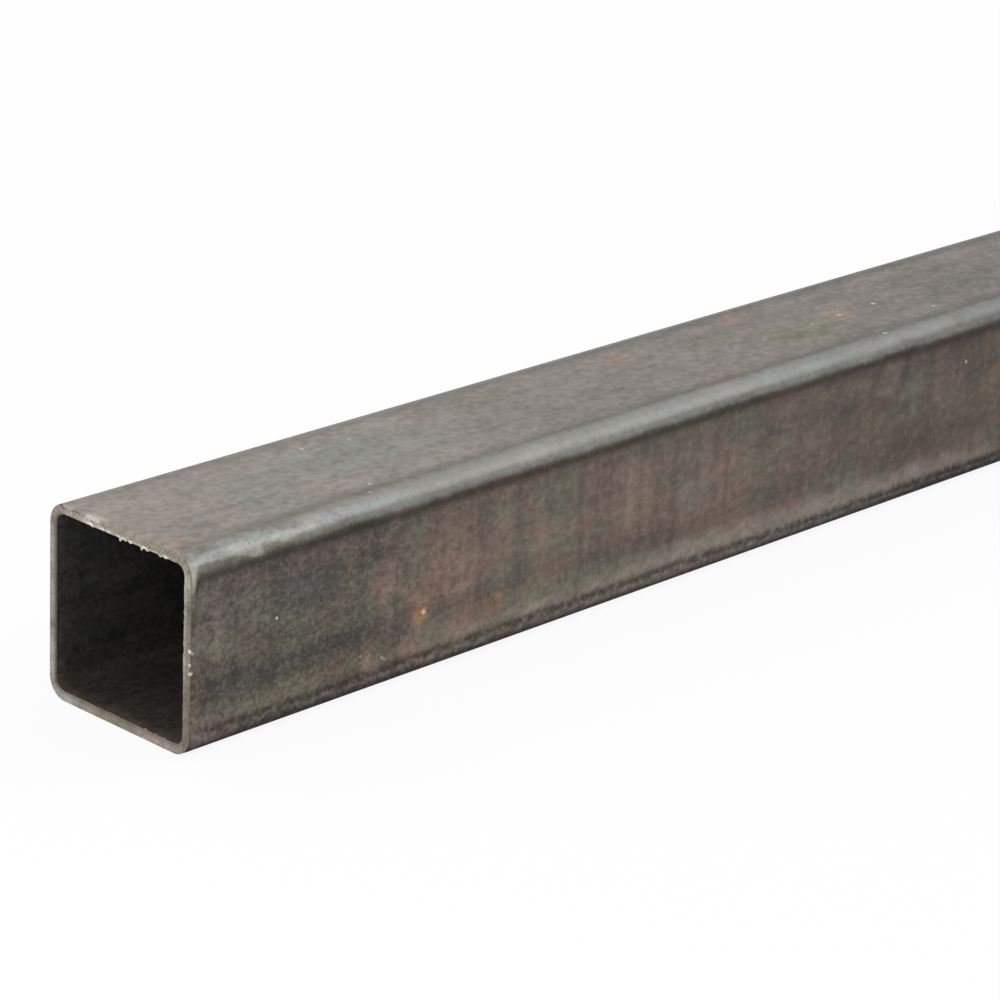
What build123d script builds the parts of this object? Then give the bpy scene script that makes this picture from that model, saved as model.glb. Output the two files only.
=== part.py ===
"""A length of cold-formed square steel tube, lying along X with its underside on Z = 0.

All sizes are in millimetres. The origin is on the underside, at the middle of the length and of the width.
"""

import os

from build123d import *

# Driving dimensions
LENGTH = 1000.0  # sawn end to sawn end
SIDE = 40.0  # outside width and height of the square
WALL = 2.0  # thickness of the strip that the tube is rolled from
BEND_RADIUS = 2.4  # inside radius of the four rolled corners

# Sizes that follow from them
OUTER_RADIUS = BEND_RADIUS + WALL
INSIDE = SIDE - 2 * WALL
MID_HEIGHT = SIDE / 2

with BuildPart() as square_tube:
    with BuildSketch(Plane.YZ.offset(-LENGTH / 2)) as section:
        with Locations((0, MID_HEIGHT)):
            RectangleRounded(SIDE, SIDE, OUTER_RADIUS)
            RectangleRounded(INSIDE, INSIDE, BEND_RADIUS, mode=Mode.SUBTRACT)
    extrude(amount=LENGTH)

os.makedirs("parts", exist_ok=True)
square_tube.part.label = "square_tube"
export_step(square_tube.part, "parts/square_tube.step")
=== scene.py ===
"""Dresses a length of bare square steel tube and sets it on a pale floor under soft light.

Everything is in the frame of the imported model: metres, X along the tube, Z up, and the origin on the
underside at the middle of the length. The dressed tube replaces the plain CAD node and has four finishes:
the rolled skin outside, the sawn metal of the two ends, the torn burrs on the near end, and the dark bore.
"""

import logging
import math
from dataclasses import dataclass
from enum import Enum
from functools import reduce

import bmesh
import bpy
from mathutils import Matrix, Vector, noise


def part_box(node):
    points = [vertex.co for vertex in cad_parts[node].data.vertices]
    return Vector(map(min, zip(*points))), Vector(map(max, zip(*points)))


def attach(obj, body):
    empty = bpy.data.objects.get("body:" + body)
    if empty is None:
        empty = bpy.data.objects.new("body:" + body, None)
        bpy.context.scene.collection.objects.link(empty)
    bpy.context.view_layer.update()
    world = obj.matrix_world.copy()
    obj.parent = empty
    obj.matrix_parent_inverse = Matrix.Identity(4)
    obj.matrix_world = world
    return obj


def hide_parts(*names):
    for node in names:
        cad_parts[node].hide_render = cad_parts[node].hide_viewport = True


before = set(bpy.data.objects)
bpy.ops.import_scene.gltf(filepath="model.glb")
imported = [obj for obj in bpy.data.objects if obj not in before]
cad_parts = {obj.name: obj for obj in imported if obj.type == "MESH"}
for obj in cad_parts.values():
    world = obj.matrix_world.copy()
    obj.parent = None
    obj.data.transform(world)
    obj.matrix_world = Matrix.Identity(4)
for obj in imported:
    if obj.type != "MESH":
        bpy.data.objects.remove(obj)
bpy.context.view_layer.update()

LOG = logging.getLogger("square_tube")

MM = 0.001  # one millimetre in the frame's metres
TINY = 1e-6  # metres, for comparing places
NEARLY_ALONG = 0.99  # the least cosine between an edge and the wall that it runs along
NODE = "square_tube"
BODY = "root"

Colour = tuple[float, float, float]
Place = tuple[float, float, float]
Socket = bpy.types.NodeSocket


# ---------------------------------------------------------------------------------------------------------
# Node graphs
# ---------------------------------------------------------------------------------------------------------


@dataclass(frozen=True)
class Fade:
    """A change from one level to another between two places.

    Args:
        start: Where the change starts, most often in millimetres along the tube.
        stop: Where it is complete.
        first: The level before the start.
        last: The level after the stop.
        smooth: Whether the change eases in and out.
    """

    start: float
    stop: float
    first: float = 0.0
    last: float = 1.0
    smooth: bool = True


class Graph:
    """A thin wrapper that adds and links the nodes of one tree."""

    def __init__(self, tree: bpy.types.NodeTree) -> None:
        """Starts an empty graph.

        Args:
            tree: The node tree of a material, a world or a group.
        """
        self.tree = tree
        self.tree.nodes.clear()

    def node(self, kind: str, **settings: object) -> bpy.types.Node:
        """Adds a node.

        Args:
            kind: The node's type name.
            settings: Properties to set on it.

        Returns:
            The new node.
        """
        made = self.tree.nodes.new(kind)
        for name, value in settings.items():
            setattr(made, name, value)
        return made

    def feed(self, socket: bpy.types.NodeSocket, value: object) -> None:
        """Links a socket to another node's output, or sets its own value.

        Args:
            socket: The input socket.
            value: An output socket, a number, a vector or a colour.
        """
        if isinstance(value, bpy.types.NodeSocket):
            self.tree.links.new(value, socket)
        elif socket.type == "RGBA" and len(value) == 3:
            socket.default_value = (*value, 1.0)
        else:
            socket.default_value = value

    def math(self, operation: str, first: object, second: object = 0.0) -> Socket:
        """Adds a Math node.

        Args:
            operation: The node's operation.
            first: Its first input.
            second: Its second input.

        Returns:
            Its output.
        """
        made = self.node("ShaderNodeMath", operation=operation)
        self.feed(made.inputs[0], first)
        self.feed(made.inputs[1], second)
        return made.outputs[0]

    def chain(self, operation: str, values: tuple[object, ...]) -> Socket:
        """Joins two or more values by the same Math node, from the first to the last."""
        return reduce(lambda first, second: self.math(operation, first, second), values)

    def times(self, *values: object) -> Socket:
        """Multiplies values."""
        return self.chain("MULTIPLY", values)

    def plus(self, *values: object) -> Socket:
        """Adds values up."""
        return self.chain("ADD", values)

    def minus(self, first: object, second: object) -> Socket:
        """Takes the second value from the first."""
        return self.math("SUBTRACT", first, second)

    def most(self, *values: object) -> Socket:
        """Gives the largest of some values."""
        return self.chain("MAXIMUM", values)

    def swing(self, noise_value: object, gain: object) -> Socket:
        """Gives how far a noise about 0.5 is from 0.5, times a gain."""
        return self.times(self.minus(noise_value, 0.5), gain)

    def vector(self, operation: str, first: object, second: object) -> Socket:
        """Adds a Vector Math node.

        Args:
            operation: The node's operation.
            first: Its first input.
            second: Its second input.

        Returns:
            Its vector output.
        """
        made = self.node("ShaderNodeVectorMath", operation=operation)
        self.feed(made.inputs[0], first)
        self.feed(made.inputs[1], second)
        return made.outputs[0]

    def scaled(self, colour: object, factor: object) -> Socket:
        """Multiplies a colour by a factor.

        Args:
            colour: The colour.
            factor: The factor.

        Returns:
            The scaled colour.
        """
        made = self.node("ShaderNodeVectorMath", operation="SCALE")
        self.feed(made.inputs[0], colour)
        self.feed(made.inputs["Scale"], factor)
        return made.outputs[0]

    def span(self, value: object, low: object, high: object, to_low: float = 0.0, to_high: float = 1.0,
             smooth: bool = True) -> Socket:
        """Maps a value from one range to another, clamped at both ends.

        Args:
            value: What is mapped.
            low: The value that gives to_low.
            high: The value that gives to_high.
            to_low: The result at low.
            to_high: The result at high.
            smooth: Whether the ramp eases in and out.

        Returns:
            The mapped value.
        """
        kind = "SMOOTHSTEP" if smooth else "LINEAR"
        made = self.node("ShaderNodeMapRange", interpolation_type=kind)
        for socket, number in zip(made.inputs[:5], (value, low, high, to_low, to_high)):
            self.feed(socket, number)
        return made.outputs[0]

    def fade(self, value: object, fade: Fade) -> Socket:
        """Reads the level of a fade at a place."""
        return self.span(value, fade.start, fade.stop, fade.first, fade.last, fade.smooth)

    def mix(self, share: object, first: object, second: object) -> Socket:
        """Mixes two colours.

        Args:
            share: How much of the second colour shows.
            first: The colour at a share of 0.
            second: The colour at a share of 1.

        Returns:
            The mixed colour.
        """
        made = self.node("ShaderNodeMix", data_type="RGBA")
        for socket, value in zip((made.inputs[0], made.inputs[6], made.inputs[7]), (share, first, second)):
            self.feed(socket, value)
        return made.outputs[2]

    def noise(self, place: object, pitch: Place, detail: float = 2.0, rough: float = 0.5) -> Socket:
        """Adds noise whose grains have a given size along each axis.

        Args:
            place: The position in millimetres.
            pitch: The size of one grain along X, Y and Z, in millimetres.
            detail: The number of finer octaves.
            rough: How strong the finer octaves are.

        Returns:
            A value about 0.5.
        """
        squeezed = self.vector("DIVIDE", place, pitch)
        made = self.node("ShaderNodeTexNoise", noise_dimensions="3D")
        self.feed(made.inputs["Vector"], squeezed)
        made.inputs["Scale"].default_value = 1.0
        made.inputs["Detail"].default_value = detail
        made.inputs["Roughness"].default_value = rough
        return made.outputs["Fac"]

    def sway(self, layers: tuple[tuple[object, object], ...]) -> Socket:
        """Adds up layers of noise into a factor about 1.

        Args:
            layers: Each layer's noise, about 0.5, and its gain.

        Returns:
            1 and the sum of each noise's distance from 0.5, times its gain.
        """
        total = 1.0
        for value, gain in layers:
            total = self.plus(self.swing(value, gain), total)
        return total

    def ramp(self, value: object, points: tuple[tuple[float, float], ...], low: float,
             high: float) -> Socket:
        """Reads a level off a smooth curve.

        Args:
            value: Where the curve is read.
            points: The places and the levels of the curve.
            low: The lowest place that is read.
            high: The highest place that is read.

        Returns:
            The level there.
        """
        made = self.node("ShaderNodeValToRGB")
        made.color_ramp.interpolation = "EASE"
        elements = made.color_ramp.elements
        while len(elements) < len(points):
            elements.new(1.0)
        for element, (place, level) in zip(elements, points):
            element.position = (place - low) / (high - low)
            element.color = (level, level, level, 1.0)
        self.feed(made.inputs[0], self.span(value, low, high, smooth=False))
        return made.outputs[0]

    def call(self, group: bpy.types.NodeTree, **values: object) -> bpy.types.Node:
        """Places a node group and feeds its inputs.

        Args:
            group: The group.
            values: The inputs by name.

        Returns:
            The group's node.
        """
        made = self.node("ShaderNodeGroup", node_tree=group)
        for name, value in values.items():
            self.feed(made.inputs[name], value)
        return made

    def bump(self, height: object, strength: float, distance: float) -> Socket:
        """Gives the normal of a fine relief.

        Args:
            height: The relief's height, from 0 to 1.
            strength: How strongly it turns the normal.
            distance: How deep it is where the height is 1, in millimetres.

        Returns:
            The normal.
        """
        made = self.node("ShaderNodeBump")
        for name, value in {"Strength": strength, "Distance": distance * MM, "Height": height}.items():
            self.feed(made.inputs[name], value)
        return made.outputs[0]

    def surface(self, shader: bpy.types.Node) -> None:
        """Ends a material or a world with its shader."""
        kind = "ShaderNodeOutputWorld" if shader.type == "BACKGROUND" else "ShaderNodeOutputMaterial"
        self.feed(self.node(kind).inputs["Surface"], shader.outputs[0])

    def steel(self, values: dict[str, object]) -> None:
        """Ends a material with a Principled shader.

        Args:
            values: Its inputs by name.
        """
        shader = self.node("ShaderNodeBsdfPrincipled")
        for name, value in values.items():
            self.feed(shader.inputs[name], value)
        self.surface(shader)


def new_material(name: str) -> tuple[bpy.types.Material, Graph]:
    """Starts a material.

    Args:
        name: Its name.

    Returns:
        The material and its graph.
    """
    made = bpy.data.materials.new(name)
    made.use_nodes = True
    return made, Graph(made.node_tree)


def new_group(name: str, inputs: dict[str, str],
              outputs: dict[str, str]) -> tuple[Graph, bpy.types.Node, bpy.types.Node]:
    """Starts a shader node group.

    Args:
        name: The group's name.
        inputs: Each input's name and socket type.
        outputs: Each output's name and socket type.

    Returns:
        The graph of the group, its input node and its output node.
    """
    tree = bpy.data.node_groups.new(name, "ShaderNodeTree")
    for label, kind in inputs.items():
        tree.interface.new_socket(name=label, in_out="INPUT", socket_type=kind)
    for label, kind in outputs.items():
        tree.interface.new_socket(name=label, in_out="OUTPUT", socket_type=kind)
    graph = Graph(tree)
    return graph, graph.node("NodeGroupInput"), graph.node("NodeGroupOutput")


FLOAT, VECTOR = "NodeSocketFloat", "NodeSocketVector"


def tube_place_group(near_end: float, mid_height: float, half: float,
                     corner: float) -> bpy.types.NodeTree:
    """Makes the group that says where a point lies on the tube.

    Args:
        near_end: X of the near sawn end, in metres.
        mid_height: Z of the tube's axis, in metres.
        half: Half of the tube's side, in millimetres.
        corner: The outer radius of its corners, in millimetres.

    Returns:
        A group with the outputs that Where names.
    """
    outputs = {"Place": VECTOR, "Along": FLOAT, "Across": FLOAT, "Up": FLOAT, "Roll": FLOAT, "Depth": FLOAT}
    graph, _, out = new_group("Place On Tube", {}, outputs)
    metres = graph.node("ShaderNodeTexCoord").outputs["Object"]
    centred = graph.vector("SUBTRACT", metres, (near_end, 0.0, mid_height))
    scaled = graph.vector("DIVIDE", centred, (MM, MM, MM))
    split = graph.node("ShaderNodeSeparateXYZ")
    graph.feed(split.inputs[0], scaled)
    height = graph.math("ABSOLUTE", split.outputs[2])
    across = graph.math("ABSOLUTE", split.outputs[1])
    beyond = graph.node("ShaderNodeCombineXYZ")
    for socket, value in ((1, across), (2, height)):
        graph.feed(beyond.inputs[socket], graph.most(graph.minus(value, half - corner), 0.0))
    length = graph.node("ShaderNodeVectorMath", operation="LENGTH")
    graph.feed(length.inputs[0], beyond.outputs[0])
    results = {"Place": scaled, "Along": split.outputs[0], "Across": split.outputs[1],
               "Up": split.outputs[2], "Roll": graph.minus(height, across),
               "Depth": graph.minus(corner, length.outputs["Value"])}
    for name, value in results.items():
        graph.feed(out.inputs[name], value)
    return graph.tree


def spot_group() -> bpy.types.NodeTree:
    """Makes the group that masks one soft oval spot.

    Returns:
        A group with a Place, the Squeeze and Shift that bring the spot to a ball of radius 1 about the
        origin, a Core share and a Strength, and a Mask that has the strength in the core and fades out.
    """
    inputs = {"Place": VECTOR, "Squeeze": VECTOR, "Shift": VECTOR, "Core": FLOAT, "Strength": FLOAT}
    graph, given, out = new_group("Oval Spot", inputs, {"Mask": FLOAT})
    ball = graph.node("ShaderNodeVectorMath", operation="MULTIPLY_ADD")
    for socket, name in zip(ball.inputs, ("Place", "Squeeze", "Shift")):
        graph.feed(socket, given.outputs[name])
    length = graph.node("ShaderNodeVectorMath", operation="LENGTH")
    graph.feed(length.inputs[0], ball.outputs[0])
    fade = graph.node("ShaderNodeMapRange", interpolation_type="SMOOTHSTEP")
    sources = (length.outputs["Value"], given.outputs["Core"], 1.0, given.outputs["Strength"], 0.0)
    for socket, value in zip(fade.inputs, sources):
        graph.feed(socket, value)
    graph.feed(out.inputs["Mask"], fade.outputs[0])
    return graph.tree


# The grain group's noises: the size of a grain along each axis in millimetres, the detail and the roughness
GRAIN_NOISES = {
    "Grain": ((0.8, 0.7, 0.7), 1.0, 0.4),
    "Speckle": ((1.9, 1.5, 1.5), 1.0, 0.5),
    "Streak": ((60.0, 1.3, 1.3), 3.0, 0.6),
    "Scuff": ((14.0, 5.0, 5.0), 4.0, 0.6),
    "Chatter": ((4.5, 70.0, 45.0), 2.0, 0.6),
    "Comb": ((0.7, 9.0, 9.0), 1.0, 0.5),
    "Grit": ((0.5, 0.5, 0.5), 1.0, 0.5),
}
GRIT_FADE = Fade(0.62, 0.80)  # where in its noise a crumb starts, and where it is full


def grain_group() -> bpy.types.NodeTree:
    """Makes the group for the fine grain and the drawn streaks of bare rolled steel.

    Returns:
        A group with a Place and an output for each noise, which is about 0.5. Only Grit is 0, and up to 1
        on fine crumbs.
    """
    graph, given, out = new_group("Steel Grain", {"Place": VECTOR}, {name: FLOAT for name in GRAIN_NOISES})
    for name, (pitch, detail, rough) in GRAIN_NOISES.items():
        level = graph.noise(given.outputs["Place"], pitch, detail, rough)
        graph.feed(out.inputs[name], graph.fade(level, GRIT_FADE) if name == "Grit" else level)
    return graph.tree


# ---------------------------------------------------------------------------------------------------------
# Finishes
# ---------------------------------------------------------------------------------------------------------


@dataclass(frozen=True)
class Groups:
    """The node groups that the finishes share."""

    place: bpy.types.NodeTree
    spot: bpy.types.NodeTree
    grain: bpy.types.NodeTree


@dataclass(frozen=True)
class Where:
    """Where a point lies on the tube, in millimetres.

    Args:
        place: Its position from the middle of the near end.
        along: The part of that along X.
        across: The part along Y.
        up: The part along Z.
        roll: How far it lies from the nearest corner's middle: above 0 on the top and the bottom, and
            below 0 on the sides.
        depth: How deep under the skin it lies.
    """

    place: Socket
    along: Socket
    across: Socket
    up: Socket
    roll: Socket
    depth: Socket

    @classmethod
    def of(cls, graph: Graph, groups: Groups) -> "Where":
        """Asks the place group."""
        return cls(*graph.call(groups.place).outputs)


@dataclass(frozen=True)
class StainOrLight:
    """A soft patch of another tone on the skin or a sawn end: most are stains, and some are painted light
    or shade.

    Args:
        centre: Millimetres from the near end's centre.
        reach: How far it reaches along X, Y and Z, in millimetres.
        colour: Its own base colour.
        strength: How much of that colour shows.
        core: The share of the reach that has the full strength.
        frayed: Whether its outline wanders.
    """

    centre: Place
    reach: Place
    colour: Colour
    strength: float
    core: float = 0.2
    frayed: bool = True


class Face(Enum):
    """A face of the tube, by its outward direction."""

    TOP = Vector((0.0, 0.0, 1.0))
    BOTTOM = Vector((0.0, 0.0, -1.0))
    NEAR = Vector((0.0, -1.0, 0.0))
    FAR = Vector((0.0, 1.0, 0.0))


RUST = (0.44, 0.19, 0.06)
PALE_RUST = (0.20, 0.115, 0.07)
SOOT_AND_SHADE = (0.014, 0.011, 0.009)
GREEN_GREY = (0.098, 0.093, 0.062)
BLUE_GREY = (0.060, 0.050, 0.046)
BROWN_EDGE = (0.085, 0.052, 0.036)
BRIGHT_SPOT_TONE = (0.62, 0.58, 0.52)
WARM_TINT = (0.20, 0.125, 0.075)
PALE_TOP_LIGHT = (0.265, 0.233, 0.200)
CELADON = (0.172, 0.182, 0.156)
OLIVE = (0.136, 0.130, 0.076)
WHITE = (1.0, 1.0, 1.0)
HALF = 20.0  # half of the side, in millimetres, for placing marks on a face


def on_top(along: float, across: float) -> Place:
    """Gives the place of a mark on the top face, in millimetres from the near end's centre."""
    return (along, across, HALF)


def on_side(along: float, height: float) -> Place:
    """Gives the place of a mark on the near side, with its height above the underside."""
    return (along, -HALF, height - HALF)


def on_band(along: float, drop: float = 0.0) -> Place:
    """Gives the place of a mark on the upper near corner, lowered by a drop towards the side."""
    return (along, -18.4 - drop, 18.7 - drop)


def cut_mark(across: float, up: float, wide: float, high: float, colour: Colour, strength: float,
             core: float = 0.2) -> StainOrLight:
    """Gives a mark on the near sawn end, or a painted shadow where the list says so.

    Args:
        across: Millimetres from the middle of the end, along Y.
        up: Millimetres from the middle of the end, along Z.
        wide: How far it reaches along Y.
        high: How far it reaches along Z.
        colour: Its own base colour.
        strength: How much of that colour shows.
        core: The share of the reach that has the full strength.

    Returns:
        The stain.
    """
    return StainOrLight((0.0, across, up), (3.0, wide, high), colour, strength, core)


# The skin's stains and its painted patches of light and shade, which lie over one another in this order
LONG_LIGHT_AND_SHADE = (
    # Painted light: a pale haze on the top by the near end, which fades towards the far end
    StainOrLight(on_top(0.0, 2.0), (210.0, 60.0, 6.0), PALE_TOP_LIGHT, 0.68, 0.1),
    # Painted shade over the far part of the side, the second one browner as well
    StainOrLight(on_side(232.0, 20.0), (82.0, 6.0, 26.0), SOOT_AND_SHADE, 0.38, 0.45),
    StainOrLight(on_side(228.0, 24.0), (58.0, 6.0, 18.0), (0.076, 0.049, 0.029), 0.8, 0.5),
)

SIDE_STAINS_AND_LIGHT = (
    StainOrLight(on_side(8.0, 29.0), (8.0, 6.0, 10.0), (0.088, 0.068, 0.060), 0.85),
    StainOrLight(on_side(29.0, 28.0), (12.0, 6.0, 9.0), BLUE_GREY, 0.8, 0.4),
    StainOrLight(on_side(12.0, 13.0), (12.0, 6.0, 7.0), BLUE_GREY, 0.5),
    StainOrLight(on_side(25.0, 13.0), (30.0, 6.0, 4.8), SOOT_AND_SHADE, 0.42),
    StainOrLight(on_side(3.0, 12.0), (7.0, 6.0, 6.0), SOOT_AND_SHADE, 0.56),
    StainOrLight(on_side(21.0, 12.5), (9.0, 5.0, 3.4), SOOT_AND_SHADE, 0.36),
    StainOrLight(on_side(3.0, 20.5), (4.5, 5.0, 3.0), SOOT_AND_SHADE, 0.20),
    StainOrLight(on_side(38.0, 14.5), (9.0, 5.0, 3.2), SOOT_AND_SHADE, 0.36),
    StainOrLight(on_side(125.0, 12.5), (26.0, 6.0, 3.8), SOOT_AND_SHADE, 0.22),
    StainOrLight(on_side(0.8, 11.5), (2.2, 4.0, 5.5), (0.115, 0.062, 0.044), 0.75, 0.3),
    StainOrLight(on_side(5.0, 4.2), (12.0, 6.0, 3.6), (0.092, 0.054, 0.048), 0.90, 0.4),
    StainOrLight(on_side(26.0, 32.5), (30.0, 4.0, 3.4), (0.140, 0.092, 0.078), 0.5, 0.4),
    StainOrLight(on_side(11.0, 33.5), (4.5, 3.0, 2.6), (0.135, 0.072, 0.058), 0.6, 0.3),
    StainOrLight(on_side(36.0, 8.0), (5.0, 6.0, 3.0), BROWN_EDGE, 0.8),
    StainOrLight(on_side(21.0, 3.7), (12.0, 3.0, 1.5), SOOT_AND_SHADE, 0.42),
    # Painted reflection of the floor: a lighter strip just above the lower corner
    StainOrLight(on_side(160.0, 6.6), (112.0, 6.0, 3.4), (0.175, 0.152, 0.132), 0.5, 0.5),
)

SIDE_PATCHES = (
    StainOrLight(on_side(57.0, 29.0), (5.0, 5.0, 5.5), GREEN_GREY, 0.7, 0.4),
    StainOrLight(on_side(97.0, 29.5), (8.0, 6.0, 7.5), GREEN_GREY, 0.85, 0.5),
    StainOrLight(on_side(88.0, 20.0), (6.0, 5.0, 8.0), GREEN_GREY, 0.7, 0.4),
    StainOrLight(on_side(84.0, 14.0), (9.0, 6.0, 7.0), GREEN_GREY, 0.6, 0.5),
    StainOrLight(on_side(107.0, 9.6), (30.0, 6.0, 3.4), GREEN_GREY, 0.9, 0.4),
    StainOrLight(on_side(123.0, 28.5), (14.0, 5.0, 6.5), (0.205, 0.122, 0.102), 0.5, 0.5),
    StainOrLight(on_side(139.0, 23.0), (7.0, 5.0, 10.0), (0.092, 0.086, 0.068), 0.55, 0.5),
    StainOrLight(on_side(155.0, 30.5), (11.0, 6.0, 5.5), GREEN_GREY, 0.85, 0.4),
    StainOrLight(on_side(190.0, 12.0), (7.0, 6.0, 6.0), GREEN_GREY, 0.8, 0.4),
    StainOrLight(on_side(202.0, 31.0), (5.5, 5.0, 5.5), (0.200, 0.155, 0.120), 0.6, 0.4),
    StainOrLight(on_side(211.0, 26.0), (6.0, 6.0, 9.0), GREEN_GREY, 0.8, 0.4),
    StainOrLight(on_side(204.0, 20.5), (6.0, 5.0, 6.0), (0.070, 0.066, 0.052), 0.5, 0.4),
    StainOrLight(on_side(222.5, 26.0), (6.5, 5.0, 12.0), (0.128, 0.085, 0.068), 0.55, 0.4),
    StainOrLight(on_side(49.5, 22.5), (6.0, 5.0, 6.5), (0.195, 0.108, 0.092), 0.5, 0.4),
    StainOrLight(on_side(64.5, 20.0), (5.5, 5.0, 6.0), PALE_RUST, 0.5),
)

RUST_SPOT = (
    StainOrLight(on_side(54.6, 11.2), (3.2, 4.0, 2.6), (0.105, 0.078, 0.088), 0.6, 0.4),
    StainOrLight(on_side(56.5, 18.6), (4.4, 4.0, 2.6), (0.185, 0.125, 0.080), 0.5, 0.4),
    StainOrLight(on_side(55.4, 14.2), (3.4, 3.0, 3.2), (0.140, 0.090, 0.068), 0.6, 0.3, False),
    StainOrLight(on_side(59.4, 14.8), (2.9, 3.0, 3.0), (0.265, 0.128, 0.074), 0.85, 0.2, False),
    StainOrLight(on_side(59.2, 13.0), (3.1, 3.0, 2.2), (0.370, 0.212, 0.094), 0.9, 0.2, False),
    StainOrLight(on_side(60.2, 13.8), (0.75, 1.2, 0.75), (0.86, 0.60, 0.42), 0.95, 0.45, False),
    StainOrLight(on_side(80.0, 10.7), (3.2, 4.0, 3.8), RUST, 0.22),
)

END_EDGES = (
    # The near side's top end edge, lighter: a painted highlight where the band's highlight turns round the
    # rounded edge
    StainOrLight(on_side(0.2, 34.6), (1.1, 3.0, 5.6), (0.38, 0.345, 0.285), 0.9, 0.5, False),
    StainOrLight(on_top(0.3, 7.2), (1.5, 3.8, 1.5), BRIGHT_SPOT_TONE, 0.45, 0.3, False),
)

TOP_PATCHES = (
    StainOrLight(on_top(2.0, 11.0), (5.0, 7.0, 4.0), (0.285, 0.238, 0.210), 0.65, 0.4),
    StainOrLight(on_top(11.0, -8.5), (9.0, 7.0, 4.0), SOOT_AND_SHADE, 0.20),
    StainOrLight(on_top(21.0, 6.5), (1.8, 6.0, 4.0), SOOT_AND_SHADE, 0.18),
    StainOrLight(on_top(4.0, -11.0), (6.0, 7.0, 6.0), (0.255, 0.188, 0.145), 0.6),
    StainOrLight(on_top(32.0, -1.0), (10.0, 10.0, 5.0), CELADON, 0.7, 0.4),
    StainOrLight(on_top(57.0, 2.0), (24.0, 11.0, 5.0), CELADON, 0.7, 0.4),
    StainOrLight(on_top(32.0, -10.0), (10.0, 7.0, 4.0), CELADON, 0.6, 0.4),
    StainOrLight(on_top(78.0, 1.0), (9.0, 9.0, 4.0), CELADON, 0.5, 0.4),
    StainOrLight(on_top(112.0, -3.0), (38.0, 15.0, 6.0), SOOT_AND_SHADE, 0.14, 0.5),
    StainOrLight(on_top(247.0, -2.0), (26.0, 16.0, 6.0), SOOT_AND_SHADE, 0.26, 0.4),
    StainOrLight(on_top(100.0, 9.0), (24.0, 6.0, 5.0), OLIVE, 0.35),
    StainOrLight(on_top(145.0, 8.0), (8.0, 5.0, 4.0), RUST, 0.16),
    StainOrLight(on_top(170.0, 5.0), (15.0, 5.5, 4.0), OLIVE, 0.4, 0.3),
    StainOrLight(on_top(185.0, 11.6), (8.0, 4.0, 4.0), RUST, 0.20),
    StainOrLight(on_top(191.0, -4.5), (18.0, 9.0, 4.0), OLIVE, 0.8, 0.3),
    StainOrLight(on_top(207.0, -1.0), (7.0, 5.0, 4.0), RUST, 0.20),
    StainOrLight(on_top(156.0, -13.0), (10.0, 3.0, 4.0), WARM_TINT, 0.5),
    StainOrLight(on_top(120.0, -4.9), (320.0, 1.0, 4.0), SOOT_AND_SHADE, 0.14, 0.3, False),
)

BAND_TINTS_AND_HIGHLIGHT = (
    # Lighter and darker spots along the band, which vary its tone and its painted highlight and shade
    StainOrLight(on_band(10.0), (7.0, 1.5, 1.5), (0.365, 0.380, 0.362), 0.5, 0.4),
    StainOrLight((9.0, -17.1, 19.75), (8.0, 1.3, 1.3), (0.175, 0.170, 0.156), 0.40, 0.3, False),
    StainOrLight(on_band(21.0, -0.6), (7.0, 2.2, 2.2), (0.405, 0.460, 0.415), 0.6, 0.4),
    StainOrLight(on_band(20.0, 0.5), (9.0, 1.0, 1.0), (0.420, 0.410, 0.360), 0.5, 0.4),
    StainOrLight(on_band(37.0), (8.0, 1.8, 1.8), (0.290, 0.290, 0.312), 0.5, 0.4),
    StainOrLight(on_band(48.0), (8.0, 2.2, 2.2), (0.225, 0.265, 0.268), 0.5, 0.4),
    StainOrLight(on_band(66.0, 1.0), (5.0, 1.8, 1.8), (0.300, 0.262, 0.235), 0.5, 0.4),
    StainOrLight(on_band(91.0), (5.0, 3.0, 3.0), (0.285, 0.282, 0.265), 0.45, 0.4),
    StainOrLight(on_band(150.0, 0.4), (10.0, 3.0, 3.0), (0.275, 0.252, 0.232), 0.45, 0.4),
    StainOrLight(on_band(172.0), (14.0, 3.0, 3.0), (0.175, 0.213, 0.186), 0.5, 0.4),
    StainOrLight(on_band(196.0), (8.0, 3.0, 3.0), (0.180, 0.165, 0.153), 0.4, 0.4),
    StainOrLight(on_band(214.0), (15.0, 3.0, 3.0), (0.250, 0.255, 0.235), 0.5, 0.5),
    StainOrLight(on_band(7.0, 1.6), (10.0, 1.5, 1.5), (0.090, 0.080, 0.070), 0.40, 0.3, False),
    StainOrLight(on_band(0.1), (1.2, 2.2, 2.2), (0.400, 0.370, 0.310), 0.6, 0.4, False),
)

STAINS_AND_LIGHT = (*LONG_LIGHT_AND_SHADE, *SIDE_STAINS_AND_LIGHT, *SIDE_PATCHES, *RUST_SPOT, *END_EDGES, *TOP_PATCHES, *BAND_TINTS_AND_HIGHLIGHT)


@dataclass(frozen=True)
class Fleck:
    """A tiny bright spot on the skin or a sawn end.

    Args:
        centre: Millimetres from the near end's centre.
        reach: How far it reaches along X, Y and Z, in millimetres.
        strength: How bright it is.
        core: The share of the reach that is evenly bright.
    """

    centre: Place
    reach: Place = (0.40, 0.40, 0.40)
    strength: float = 0.7
    core: float = 0.3


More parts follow.
